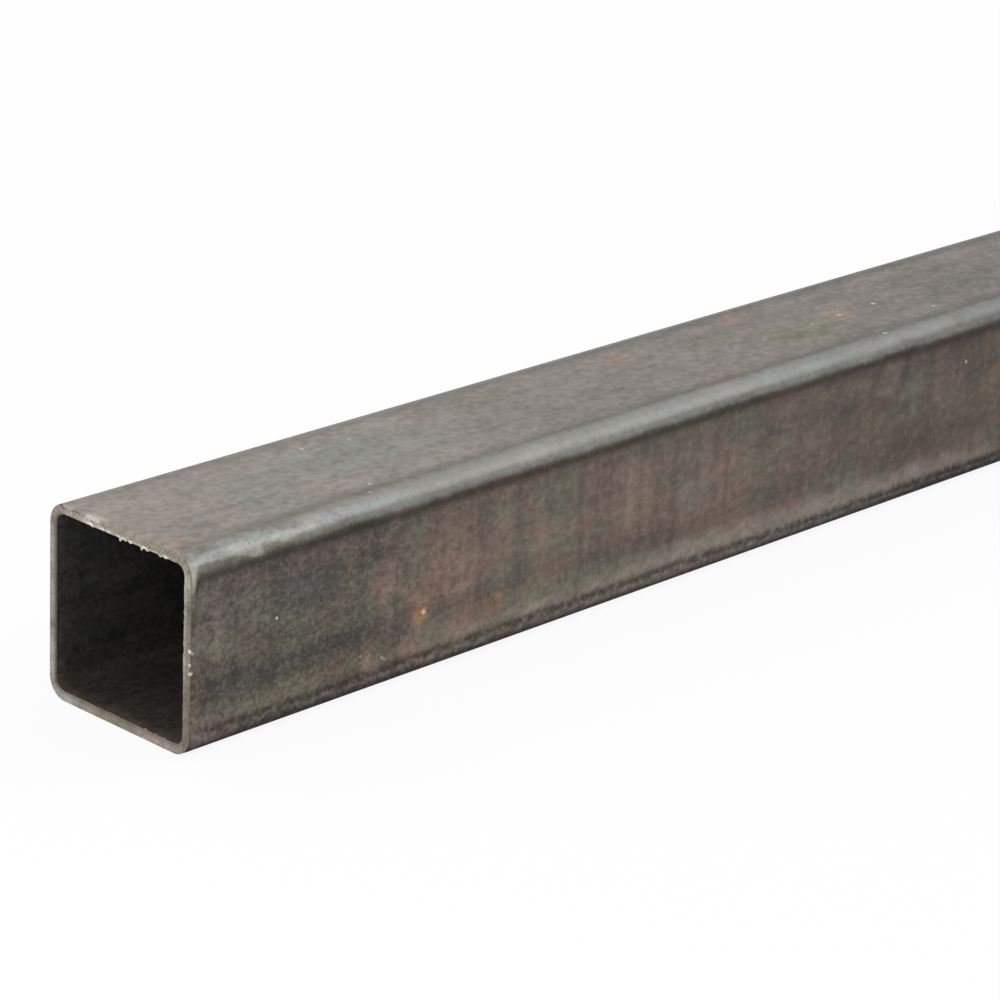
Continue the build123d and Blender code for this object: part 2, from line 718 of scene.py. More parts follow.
FLECKS = (
    Fleck(on_side(21.3, 22.8), (0.45, 0.45, 0.45), 0.9),
    Fleck(on_side(43.5, 9.0), strength=0.4),
    Fleck(on_side(49.2, 7.2), (0.45, 0.35, 0.35), 0.6),
    Fleck(on_side(49.9, 6.7), (0.45, 0.35, 0.35), 0.5),
    Fleck(on_side(229.5, 29.2), (0.6, 0.45, 0.6), 0.5),
    Fleck(on_top(55.3, 10.1), (0.6, 0.6, 0.4), 0.6),
    Fleck(on_top(66.3, 8.2), (0.5, 0.5, 0.4), 0.6),
    Fleck(on_top(52.0, -12.4), (0.6, 0.6, 0.4), 0.6),
    Fleck(on_top(49.0, -15.6), (0.5, 0.5, 0.4), 0.5),
    Fleck(on_top(99.5, -10.9), strength=0.5),
    Fleck(on_top(219.0, -0.9), (1.0, 0.8, 0.5), 0.8),
    Fleck(on_top(228.5, -10.4), (0.8, 0.6, 0.5), 0.6),
    Fleck(on_top(206.5, -1.4), (0.8, 0.8, 0.5), 0.7),
    Fleck(on_top(180.0, -2.4), (1.2, 0.6, 0.5), 0.4),
    Fleck(on_top(196.5, -1.9), (1.0, 0.5, 0.5), 0.3),
    Fleck((204.5, -15.9, HALF - 0.1), (1.2, 0.5, 0.5), 0.6),
)

# Beads of metal on the near side's sawn edge
BEADS = (
    Fleck((0.0, -19.7, 1.7), (0.60, 0.60, 0.55), 1.0),
    Fleck((0.5, -19.9, 1.2), (0.45, 0.40, 0.35), 0.6),
    Fleck((0.0, -19.7, -1.0), (0.45, 0.45, 0.42), 0.8),
    Fleck((0.2, -19.8, -2.7), (0.60, 0.60, 0.50), 1.0),
)


def glint(across: float, up: float, wide: float, high: float, strength: float) -> Fleck:
    """Gives a bright spot on the near end, partly a painted glint on torn metal, by its place and its reach
    along Y and Z and its strength.
    """
    return Fleck((0.0, across, up), (1.5, wide, high), strength)


# Torn metal along the inner edge of the top wall, its bright spots partly painted glints
LIP_GLINTS = (
    glint(8.2, 18.30, 1.30, 0.55, 1.0),
    glint(5.8, 18.25, 1.00, 0.32, 0.6),
    glint(3.0, 18.20, 1.20, 0.30, 0.5),
    glint(-1.1, 18.10, 0.90, 0.55, 1.0),
    glint(-3.0, 18.15, 0.90, 0.42, 0.9),
    glint(-6.9, 18.15, 1.20, 0.55, 0.9),
    glint(-9.6, 18.20, 0.80, 0.30, 0.4),
    glint(-12.8, 18.20, 1.30, 0.42, 0.8),
)

CUT_MARKS = (
    cut_mark(-10.0, -19.0, 8.0, 2.4, (0.46, 0.365, 0.300), 0.60, 0.4),
    cut_mark(1.6, -19.0, 4.8, 2.4, (0.27, 0.255, 0.170), 0.70, 0.5),
    cut_mark(8.0, -19.0, 4.0, 2.4, (0.36, 0.275, 0.230), 0.60, 0.4),
    cut_mark(15.0, -18.5, 4.8, 2.8, (0.43, 0.425, 0.420), 0.60, 0.4),
    cut_mark(-19.0, -11.0, 2.2, 11.0, (0.170, 0.128, 0.090), 0.66, 0.4),
    cut_mark(-19.0, 7.0, 2.2, 8.0, (0.160, 0.140, 0.110), 0.66, 0.6),
    cut_mark(-19.0, 15.6, 2.2, 2.0, (0.50, 0.47, 0.40), 0.25, 0.4),
    cut_mark(0.0, 19.2, 14.0, 1.2, (0.30, 0.280, 0.20), 0.5, 0.5),
    cut_mark(13.5, 19.0, 5.0, 2.0, (0.40, 0.315, 0.285), 0.6, 0.4),
    cut_mark(19.6, 4.0, 0.9, 16.0, (0.27, 0.28, 0.25), 0.6, 0.5),
    cut_mark(19.0, -12.0, 2.2, 6.0, (0.38, 0.375, 0.350), 0.7, 0.5),
    cut_mark(7.4, 19.6, 3.4, 0.9, (0.66, 0.61, 0.53), 0.85, 0.3),
    cut_mark(18.9, 16.0, 0.50, 1.2, SOOT_AND_SHADE, 0.5),
    # Painted shadow of the burrs: two dark lines on the top wall's outer edge
    cut_mark(16.4, 19.45, 1.6, 0.45, (0.070, 0.048, 0.034), 0.75),
    cut_mark(12.6, 19.5, 2.6, 0.35, (0.070, 0.048, 0.034), 0.65),
    cut_mark(-18.9, 17.2, 0.45, 0.40, SOOT_AND_SHADE, 0.6),
    cut_mark(19.2, -4.9, 1.3, 1.3, SOOT_AND_SHADE, 0.45),
)


def oval(graph: Graph, groups: Groups, place: object, spot: StainOrLight | Fleck) -> Socket:
    """Masks one stain, painted patch of light or shade, or fleck by its centre, reach, core and strength.

    Args:
        graph: The material's graph.
        groups: The shared node groups.
        place: The position in millimetres.
        spot: The stain, painted patch or fleck.

    Returns:
        The mask.
    """
    squeeze = tuple(1.0 / reach for reach in spot.reach)
    shift = tuple(-centre / reach for centre, reach in zip(spot.centre, spot.reach))
    made = graph.call(groups.spot, Place=place, Squeeze=squeeze, Shift=shift, Core=spot.core,
                      Strength=spot.strength)
    return made.outputs["Mask"]


def lay_stains_and_light(graph: Graph, groups: Groups, place: object, frayed: object, stains_and_light: tuple[StainOrLight, ...],
            colour: object) -> Socket:
    """Lays some stains and painted patches of light and shade over a base tone.

    Args:
        graph: The material's graph.
        groups: The shared node groups.
        place: The position in millimetres.
        frayed: The same position, pushed about by noise.
        stains_and_light: The stains and painted patches, in the order they lie.
        colour: The base tone.

    Returns:
        The colour with them.
    """
    for each_patch in stains_and_light:
        mask = oval(graph, groups, frayed if each_patch.frayed else place, each_patch)
        colour = graph.mix(mask, colour, each_patch.colour)
    return colour


def fleck_mask(graph: Graph, groups: Groups, place: object, flecks: tuple[Fleck, ...]) -> Socket:
    """Gives the mask of some flecks.

    Args:
        graph: The material's graph.
        groups: The shared node groups.
        place: The position in millimetres.
        flecks: The flecks.

    Returns:
        How bright the metal is.
    """
    mask = 0.0
    for fleck in flecks:
        mask = graph.most(mask, oval(graph, groups, place, fleck))
    return mask


CLOUD_PITCH = (7.0, 5.0, 5.0)  # the size of a cloud on the skin, in millimetres
UPPER_HALF = Fade(-6.0, 6.0)  # over the height from the tube's axis
ON_FACE = Fade(-4.0, -6.0)  # over the roll
CORNER_TO_TOP = (1.0, 5.0)  # where the sides' tones end and the top's are complete, on the roll
FRONT = Fade(35.0, 75.0, 1.0, 0.0)  # along the tube


@dataclass(frozen=True)
class SkinPoint:
    """What the skin's methods share: the graph, and values at the point that it paints.

    Args:
        graph: The material's graph.
        groups: The shared node groups.
        where: Where the point lies on the tube.
        grain: The grain group's outputs by name.
        cloud: Soft noise about 0.5.
        upper: 1 on the upper half of the tube, and 0 on the lower half.
        lower: 0 on the upper half, and 1 on the lower half.
        on_face: 1 on the flat part of a side, and 0 by its corners and on the top.
        front: 1 on the flat part of a side near the near end.
    """

    graph: Graph
    groups: Groups
    where: Where
    grain: dict[str, Socket]
    cloud: Socket
    upper: Socket
    lower: Socket
    on_face: Socket
    front: Socket

    @classmethod
    def start(cls, graph: Graph, groups: Groups) -> "SkinPoint":
        """Works the shared values out.

        Args:
            graph: The material's graph.
            groups: The shared node groups.

        Returns:
            The values.
        """
        where = Where.of(graph, groups)
        grain = dict(graph.call(groups.grain, Place=where.place).outputs.items())
        cloud = graph.noise(where.place, CLOUD_PITCH, 1.5, 0.5)
        upper = graph.fade(where.up, UPPER_HALF)
        on_face = graph.fade(where.roll, ON_FACE)
        front = graph.times(on_face, graph.fade(where.along, FRONT))
        return cls(graph, groups, where, grain, cloud, upper, graph.minus(1.0, upper), on_face, front)

    def side_to_top(self, side: float, top: float) -> Socket:
        """Gives one level on the sides and another on the top, which meet on the corner."""
        return self.graph.span(self.where.roll, *CORNER_TO_TOP, side, top)

    def along(self, fade: Fade) -> Socket:
        """Reads a fade along the tube."""
        return self.graph.fade(self.where.along, fade)


@dataclass(frozen=True)
class RolledSkin:
    """The outside: a dull oxide skin, rolled, rubbed brighter along the upper corners, with a painted
    highlight along them and painted shade beside and under the corners.

    A fade runs along the tube, except where its comment says otherwise. The roll counts millimetres from a
    corner's middle: up on the top and down on the sides. A pair of gains is for the sides and for the top.
    """

    # Tones
    brown: Colour = (0.142, 0.092, 0.068)
    front_tone: Colour = (0.073, 0.058, 0.037)
    top_tone: Colour = (0.165, 0.144, 0.125)
    band_and_highlight_tone: Colour = (0.264, 0.282, 0.262)
    cool_band_and_highlight_tone: Colour = (0.252, 0.286, 0.290)
    plum_tone: Colour = (0.098, 0.060, 0.056)
    lower_band_and_highlight_tone: Colour = (0.225, 0.227, 0.210)
    line_and_shade_tone: Colour = (0.016, 0.013, 0.011)
    under_shade_tone: Colour = (0.018, 0.012, 0.010)
    cloud_warp: Place = (9.0, 6.0, 6.0)  # how far the clouds push the frayed stains' outlines
    to_brown: Fade = Fade(70.0, 80.0)
    brown_edge_wander: float = 46.0
    green_pitch: Place = (20.0, 9.0, 9.0)
    green_patch: Fade = Fade(0.48, 0.60)  # over its noise
    green_share: float = 0.6
    plum_pitch: Place = (13.0, 6.0, 6.0)
    plum_patch: Fade = Fade(0.47, 0.60, 0.0, 0.8)  # over its noise
    plum_height: Fade = Fade(-14.0, -16.5)  # over the height from the tube's axis
    cool_end: Fade = Fade(65.0, 40.0)
    cool_patch: Fade = Fade(0.35, 0.60, 0.3, 1.0)  # over the clouds

    # How the drawn lines bend and fray
    curl: Fade = Fade(0.0, 2.4, 4.0, 0.0)  # how far the upper corner's lines turn down at the near end
    scuff_wander: float = 0.9
    comb_reach: Fade = Fade(8.0, 45.0, 1.1, 0.4)
    comb_below: Fade = Fade(1.0, 0.0, 0.0, 1.6)  # over how much of the upper half shows

    # The band along the upper corners, rubbed metal with a painted highlight, with its edges on the roll
    band_low_edge: Fade = Fade(25.0, 60.0, -2.1, -3.2)
    band_full_edge: Fade = Fade(25.0, 60.0, -0.5, -0.3)
    band_top_edge: Fade = Fade(40.0, 90.0, 4.3, 5.5)
    band_top_width: float = 2.9
    band_below: float = 0.12  # how much of the band the lower corners have
    band_share: float = 0.9
    # How bright the band and its painted highlight are along the tube
    band_levels: tuple[Fade, ...] = (Fade(26.0, 60.0, 1.36, 0.83), Fade(95.0, 130.0, 1.0, 1.13),
                                     Fade(120.0, 240.0, 1.0, 0.74, False))

    # The fainter band just under it, rubbed metal with a painted highlight like the band above
    lower_band_start: Fade = Fade(12.0, 60.0, 0.05, 1.0)
    lower_band_level: Fade = Fade(120.0, 240.0, 0.80, 0.70, False)
    lower_band_narrowing: Fade = Fade(25.0, 60.0, 0.5, 0.0)
    lower_band_low_edge: Fade = Fade(-4.1, -2.3)  # over the roll
    lower_band_high_edge: Fade = Fade(-0.6, -2.2)  # over the roll

    # The dark lines beside the corners, partly roll lines and partly painted shade, read off a curve over
    # the roll: 0.5 is plain and 0 is darkest
    line_curve: tuple[tuple[float, float], ...] = (
        (-16.0, 0.50), (-9.0, 0.50), (-7.0, 0.49), (-6.2, 0.45), (-5.4, 0.31), (-4.8, 0.13), (-4.2, 0.10),
        (-3.6, 0.22), (-3.0, 0.43), (-2.3, 0.50), (2.8, 0.50), (3.9, 0.42), (5.0, 0.29), (6.2, 0.36),
        (7.6, 0.45), (9.0, 0.51), (11.0, 0.50))
    line_reach: float = 16.0
    line_middle: float = 4.2  # the side's line is darkest this far under the corner
    low_line_shift: Fade = Fade(135.0, 180.0, 0.53, -0.40)  # the lower line lies this much further away
    low_line_squeeze: float = 0.42  # how much narrower that line is than the upper one
    low_line_levels: tuple[Fade, Fade] = (Fade(3.0, 14.0, 0.35, 0.65), Fade(180.0, 215.0, 1.0, 1.4))
    high_line_level: Fade = Fade(5.0, 20.0, 0.74, 0.93)
    far_top_ease: Fade = Fade(50.0, 140.0, 0.5, 0.15)  # how much fainter the line is by the top's far edge
    far_top: Fade = Fade(6.0, 12.0)  # across the tube
    off_corner: Fade = Fade(1.0, 3.0)  # over the roll

    # The shade under the lower corners, with its edge on the roll
    under_shifts: tuple[Fade, ...] = (Fade(40.0, 120.0, 0.5, 0.0), Fade(180.0, 215.0, 0.0, 0.7))
    under_start: Fade = Fade(6.0, 16.0, 0.9, 0.0)
    under_dip: tuple[Fade, Fade] = (Fade(9.0, 15.0), Fade(34.0, 22.0, 0.0, 0.1))
    under_edge: Fade = Fade(-3.4, -0.6, 0.0, 0.85)  # over the roll
    under_stop: Fade = Fade(5.0, 2.0)  # over the roll

    # The bands up a side, read off a curve over the height: 0.5 is plain. The light band low on the side is
    # a painted reflection of the floor
    height_curve: tuple[tuple[float, float], ...] = (
        (-20.0, 0.45), (-15.5, 0.58), (-14.2, 0.72), (-13.0, 0.70), (-11.0, 0.59), (-8.5, 0.49),
        (-6.0, 0.41), (-3.5, 0.48), (0.5, 0.55), (5.0, 0.49), (10.0, 0.42), (14.0, 0.37), (20.0, 0.41))
    height_gain: float = 2.0
    chatter_gain: float = 1.2

    # The grain, with its gains, what the front adds to them, and what the strip above the lower corner adds
    calm: Fade = Fade(20.0, 60.0, 0.15, 0.58)  # how much of the grain the band of rubbed metal and painted highlight lacks
    streak_gains: tuple[float, float] = (0.5, 0.15)
    band_mottle: Fade = Fade(30.0, 60.0, 1.6, 0.0)
    mottle: Fade = Fade(100.0, 220.0, 0.9, 1.4)
    strip_low_edge: Fade = Fade(-5.6, -4.6)  # over the roll
    strip_high_edge: Fade = Fade(3.0, 0.0)  # over the roll
    fine_gain: Fade = Fade(70.0, 150.0, 1.15, 0.70)
    fine_gains: tuple[float, float] = (1.0, 0.25)
    fine_front: float = 0.65
    fine_strip: float = 1.6
    coarse_gains: tuple[float, float] = (1.15, 1.5)
    coarse_front: float = -0.25
    coarse_strip: float = 1.4
    grit_gains: tuple[float, float] = (0.25, 0.12)
    grit_front: float = 0.25
    hidden_by_dark: Fade = Fade(-6.0, 6.0, 0.3, 0.8)  # what dark lines hide of the grain, over the height
    peak_tones: tuple[float, float] = (0.085, 0.115)  # the mean tones that the fine grain moves about
    dip_gain: float = 0.85
    dip_front: float = 0.5

    # Gloss
    roughness: float = 0.42
    band_roughness: float = 0.45
    under_roughness: float = 0.30  # added under the lower corners
    streak_roughness: float = 0.20
    band_metal: float = 0.15
    line_metal: float = 0.8
    index_of_refraction: float = 1.65
    specular: float = 0.30  # the specular level, where 0.5 is plain
    bump_strength: float = 0.6
    bump_depth: float = 0.06  # millimetres
    grain_relief: float = 0.6
    streak_reliefs: tuple[float, float] = (0.5, 0.2)
    smooth_low_edge: Fade = Fade(-3.2, 0.0, 0.0, 0.7)  # how smooth the corners are, over the roll
    smooth_high_edge: Fade = Fade(5.0, 2.2)  # over the roll

    def bent_roll(self, point: SkinPoint) -> Socket:
        """Turns the roll down at the near end and frays it, so that what follows it isn't straight.

        Args:
            point: The shared values.

        Returns:
            The roll that the bands and the lines follow.
        """
        graph = point.graph
        curl = graph.times(point.along(self.curl), point.upper)
        wander = graph.swing(point.grain["Scuff"], self.scuff_wander)
        reach = graph.most(point.along(self.comb_reach), graph.fade(point.upper, self.comb_below))
        comb = graph.swing(point.grain["Comb"], reach)
        return graph.plus(graph.plus(point.where.roll, curl), graph.plus(wander, comb))

    def band(self, point: SkinPoint, bent: Socket) -> Socket:
        """Masks the band along the upper corners, rubbed metal with a painted highlight.

        Args:
            point: The shared values.
            bent: The bent roll.

        Returns:
            How much of the band shows.
        """
        graph = point.graph
        rise = graph.span(bent, point.along(self.band_low_edge), point.along(self.band_full_edge))
        top_edge = point.along(self.band_top_edge)
        fall = graph.span(point.where.roll, top_edge, graph.minus(top_edge, self.band_top_width))
        return graph.times(rise, fall, graph.most(point.upper, self.band_below))

    def base_tone(self, point: SkinPoint, band: Socket) -> Socket:
        """Mixes the brown, the greener front, the greyer top and the band of rubbed metal and painted
        highlight.

        Args:
            point: The shared values.
            band: How much of the band of rubbed metal and painted highlight shows.

        Returns:
            The colour.
        """
        graph, place, along = point.graph, point.where.place, point.where.along
        patch = graph.fade(graph.noise(place, self.green_pitch, 1.0, 0.5), self.green_patch)
        edge = graph.plus(along, graph.times(point.cloud, self.brown_edge_wander))
        side = graph.mix(graph.fade(edge, self.to_brown), self.front_tone, self.brown)
        side = graph.mix(graph.times(patch, self.green_share), side, GREEN_GREY)
        plum = graph.fade(graph.noise(place, self.plum_pitch, 1.0, 0.5), self.plum_patch)
        plum = graph.times(plum, graph.fade(point.where.up, self.plum_height))
        side = graph.mix(plum, side, self.plum_tone)
        colour = graph.mix(point.side_to_top(0.0, 1.0), side, self.top_tone)
        cool = graph.times(point.along(self.cool_end), graph.fade(point.cloud, self.cool_patch))
        # The band's tone with its painted highlight, cooler by the near end and brighter or fainter along
        # the tube
        level = graph.times(*(point.along(fade) for fade in self.band_levels))
        rubbed_and_highlit = graph.scaled(graph.mix(cool, self.band_and_highlight_tone, self.cool_band_and_highlight_tone), level)
        return graph.mix(graph.times(band, self.band_share), colour, rubbed_and_highlit)

    def stains_and_light(self, point: SkinPoint, colour: Socket) -> Socket:
        """Lays the stains and the painted patches of light and shade over a colour, with clouds pushing the
        outlines of the frayed ones.

        Args:
            point: The shared values.
            colour: The colour.

        Returns:
            The colour with them.
        """
        graph = point.graph
        warp = graph.vector("MULTIPLY", graph.minus(point.cloud, 0.5), self.cloud_warp)
        frayed = graph.vector("ADD", point.where.place, warp)
        return lay_stains_and_light(graph, point.groups, point.where.place, frayed, STAINS_AND_LIGHT, colour)

    def lower_band(self, point: SkinPoint, bent: Socket, colour: Socket) -> Socket:
        """Lays the fainter band under the main one, rubbed metal with a painted highlight like it, over a
        colour.

        Args:
            point: The shared values.
            bent: The bent roll.
            colour: The colour.

        Returns:
            The colour with the band.
        """
        graph = point.graph
        lowered = graph.minus(bent, graph.times(point.along(self.lower_band_narrowing), point.upper))
        share = graph.times(graph.fade(lowered, self.lower_band_low_edge),
                            graph.fade(lowered, self.lower_band_high_edge),
                            point.along(self.lower_band_start), point.upper)
        tone = graph.scaled(self.lower_band_and_highlight_tone, point.along(self.lower_band_level))
        return graph.mix(share, colour, tone)

    def corner_lines(self, point: SkinPoint, bent: Socket) -> Socket:
        """Masks the dark lines beside the corners, partly roll lines and partly painted shade.

        Args:
            point: The shared values.
            bent: The bent roll.

        Returns:
            How dark they are.
        """
        graph, where = point.graph, point.where
        off_line = graph.plus(bent, self.line_middle,
                              graph.times(point.along(self.low_line_shift), point.lower))
        squeeze = graph.plus(1.0, graph.times(point.lower, self.low_line_squeeze))
        shifted = graph.minus(graph.times(off_line, squeeze), self.line_middle)
        lines = graph.ramp(shifted, self.line_curve, -self.line_reach, self.line_reach)
        low_level = graph.times(*(point.along(fade) for fade in self.low_line_levels))
        level = graph.plus(graph.times(low_level, point.lower),
                           graph.times(point.along(self.high_line_level), point.upper))
        dark = graph.times(graph.span(lines, 0.5, 0.0, smooth=False), level)
        eased = graph.times(graph.fade(where.across, self.far_top), graph.fade(where.roll, self.off_corner),
                            point.along(self.far_top_ease))
        return graph.times(dark, graph.minus(1.0, eased))

    def under_shade(self, point: SkinPoint, bent: Socket) -> Socket:
        """Masks the dark shade under the lower corners.

        Args:
            point: The shared values.
            bent: The bent roll.

        Returns:
            How dark it is.
        """
        graph = point.graph
        edge = graph.plus(bent, graph.plus(*(point.along(fade) for fade in self.under_shifts)))
        edge = graph.minus(edge, point.along(self.under_start))
        edge = graph.plus(edge, graph.times(*(point.along(fade) for fade in self.under_dip)))
        stop = graph.fade(point.where.roll, self.under_stop)
        return graph.times(graph.fade(edge, self.under_edge), stop, point.lower)

    def broad_grain(self, point: SkinPoint, band: Socket, calm: Socket, colour: Socket) -> Socket:
        """Lays the streaks, the scuffs, the chatter marks and the bands up the sides over a colour; the
        light band low on a side is a painted reflection of the floor.

        Args:
            point: The shared values.
            band: How much of the band of rubbed metal and painted highlight shows.
            calm: How much of the grain is left out.
            colour: The colour.

        Returns:
            The colour with the broad grain.
        """
        graph = point.graph
        mottle = graph.plus(graph.times(band, point.along(self.band_mottle)), point.along(self.mottle))
        bands = graph.ramp(point.where.up, self.height_curve, -HALF, HALF)
        broad = graph.sway((
            (point.grain["Streak"], point.side_to_top(*self.streak_gains)),
            (point.grain["Scuff"], mottle),
            (point.grain["Chatter"], graph.times(point.on_face, self.chatter_gain)),
            (bands, graph.times(point.on_face, self.height_gain))))
        return graph.scaled(colour, graph.plus(graph.times(broad, graph.minus(1.0, calm)), calm))

    def fine_grain(self, point: SkinPoint, dark: Socket, calm: Socket, colour: Socket) -> Socket:
        """Lays the fine grain and the grit over a colour: dips darken it, and peaks add plain grey as a
        painted sheen.

        Args:
            point: The shared values.
            dark: How dark the skin is by its corners.
            calm: How much of the grain is left out.
            colour: The colour.

        Returns:
            The colour with the fine grain.
        """
        graph, roll, front = point.graph, point.where.roll, point.front
        strip = graph.times(graph.fade(roll, self.strip_low_edge), graph.fade(roll, self.strip_high_edge))
        strip = graph.times(point.lower, strip)
        fine_gain = graph.times(point.along(self.fine_gain), point.side_to_top(*self.fine_gains))
        fine_gain = graph.plus(fine_gain, graph.times(front, self.fine_front),
                               graph.times(strip, self.fine_strip))
        coarse_gain = graph.plus(point.side_to_top(*self.coarse_gains),
                                 graph.times(front, self.coarse_front),
                                 graph.times(strip, self.coarse_strip))
        grit_gain = graph.plus(point.side_to_top(*self.grit_gains), graph.times(front, self.grit_front))
        fine = graph.sway(((point.grain["Grain"], fine_gain), (point.grain["Speckle"], coarse_gain)))
        fine = graph.plus(graph.minus(fine, 1.0), graph.times(point.grain["Grit"], grit_gain))
        hidden = graph.times(dark, graph.fade(point.where.up, self.hidden_by_dark))
        fine = graph.times(fine, graph.minus(1.0, calm), graph.minus(1.0, hidden))
        dip_gain = graph.plus(self.dip_gain, graph.times(front, self.dip_front))
        dips = graph.times(graph.math("MINIMUM", fine, 0.0), dip_gain)
        colour = graph.scaled(colour, graph.math("EXPONENT", dips))
        # Painted sheen: the grain's peaks add plain grey
        sheen_peaks = graph.times(graph.most(fine, 0.0), point.side_to_top(*self.peak_tones))
        return graph.vector("ADD", colour, graph.scaled(WHITE, sheen_peaks))

    def relief(self, point: SkinPoint) -> Socket:
        """Gives the relief of the grain and the streaks, smoother on the corners.

        Args:
            point: The shared values.

        Returns:
            The height.
        """
        graph, roll = point.graph, point.where.roll
        streaks = graph.times(point.grain["Streak"], point.side_to_top(*self.streak_reliefs))
        relief = graph.plus(graph.times(point.grain["Grain"], self.grain_relief), streaks)
        smooth = graph.times(graph.fade(roll, self.smooth_low_edge),
                             graph.fade(roll, self.smooth_high_edge))
        return graph.times(relief, graph.minus(1.0, smooth))

    def rough(self, point: SkinPoint, band: Socket, under: Socket) -> Socket:
        """Gives the roughness.

        Args:
            point: The shared values.
            band: How much of the band of rubbed metal and painted highlight shows.
            under: How dark the shade under the lower corners is.

        Returns:
            The roughness, which drifts with the streaks.
        """
        graph = point.graph
        rubbed_and_highlit = graph.times(band, self.band_roughness - self.roughness)
        return graph.plus(self.roughness, rubbed_and_highlit, graph.times(under, self.under_roughness),
                          graph.swing(point.grain["Streak"], self.streak_roughness))

    def material(self, groups: Groups) -> bpy.types.Material:
        """Makes the material.

        Args:
            groups: The shared node groups.

        Returns:
            The material.
        """
        made, graph = new_material("rolled_skin")
        point = SkinPoint.start(graph, groups)
        bent = self.bent_roll(point)
        band = self.band(point, bent)
        colour = self.stains_and_light(point, self.base_tone(point, band))
        colour = self.lower_band(point, bent, colour)
        lines, under = self.corner_lines(point, bent), self.under_shade(point, bent)
        # Painted shade: the dark lines beside the corners, partly roll lines, and the shade under the lower
        # corners
        colour = graph.mix(lines, colour, self.line_and_shade_tone)
        colour = graph.mix(under, colour, self.under_shade_tone)
        dark = graph.most(lines, under)
        calm = graph.times(band, point.along(self.calm))
        colour = self.broad_grain(point, band, calm, colour)
        colour = self.fine_grain(point, dark, calm, colour)
        colour = graph.mix(fleck_mask(graph, groups, point.where.place, FLECKS + BEADS), colour, BRIGHT_SPOT_TONE)
        # The dark lines and the shade turn metallic, so that their dark tone also dims their reflection;
        # the band is a little metallic
        metal = graph.most(graph.times(dark, self.line_metal), graph.times(band, self.band_metal))
        graph.steel({"Base Color": colour, "Metallic": metal, "Roughness": self.rough(point, band, under),
                     "IOR": self.index_of_refraction, "Specular IOR Level": self.specular,
                     "Normal": graph.bump(self.relief(point), self.bump_strength, self.bump_depth)})
        return made


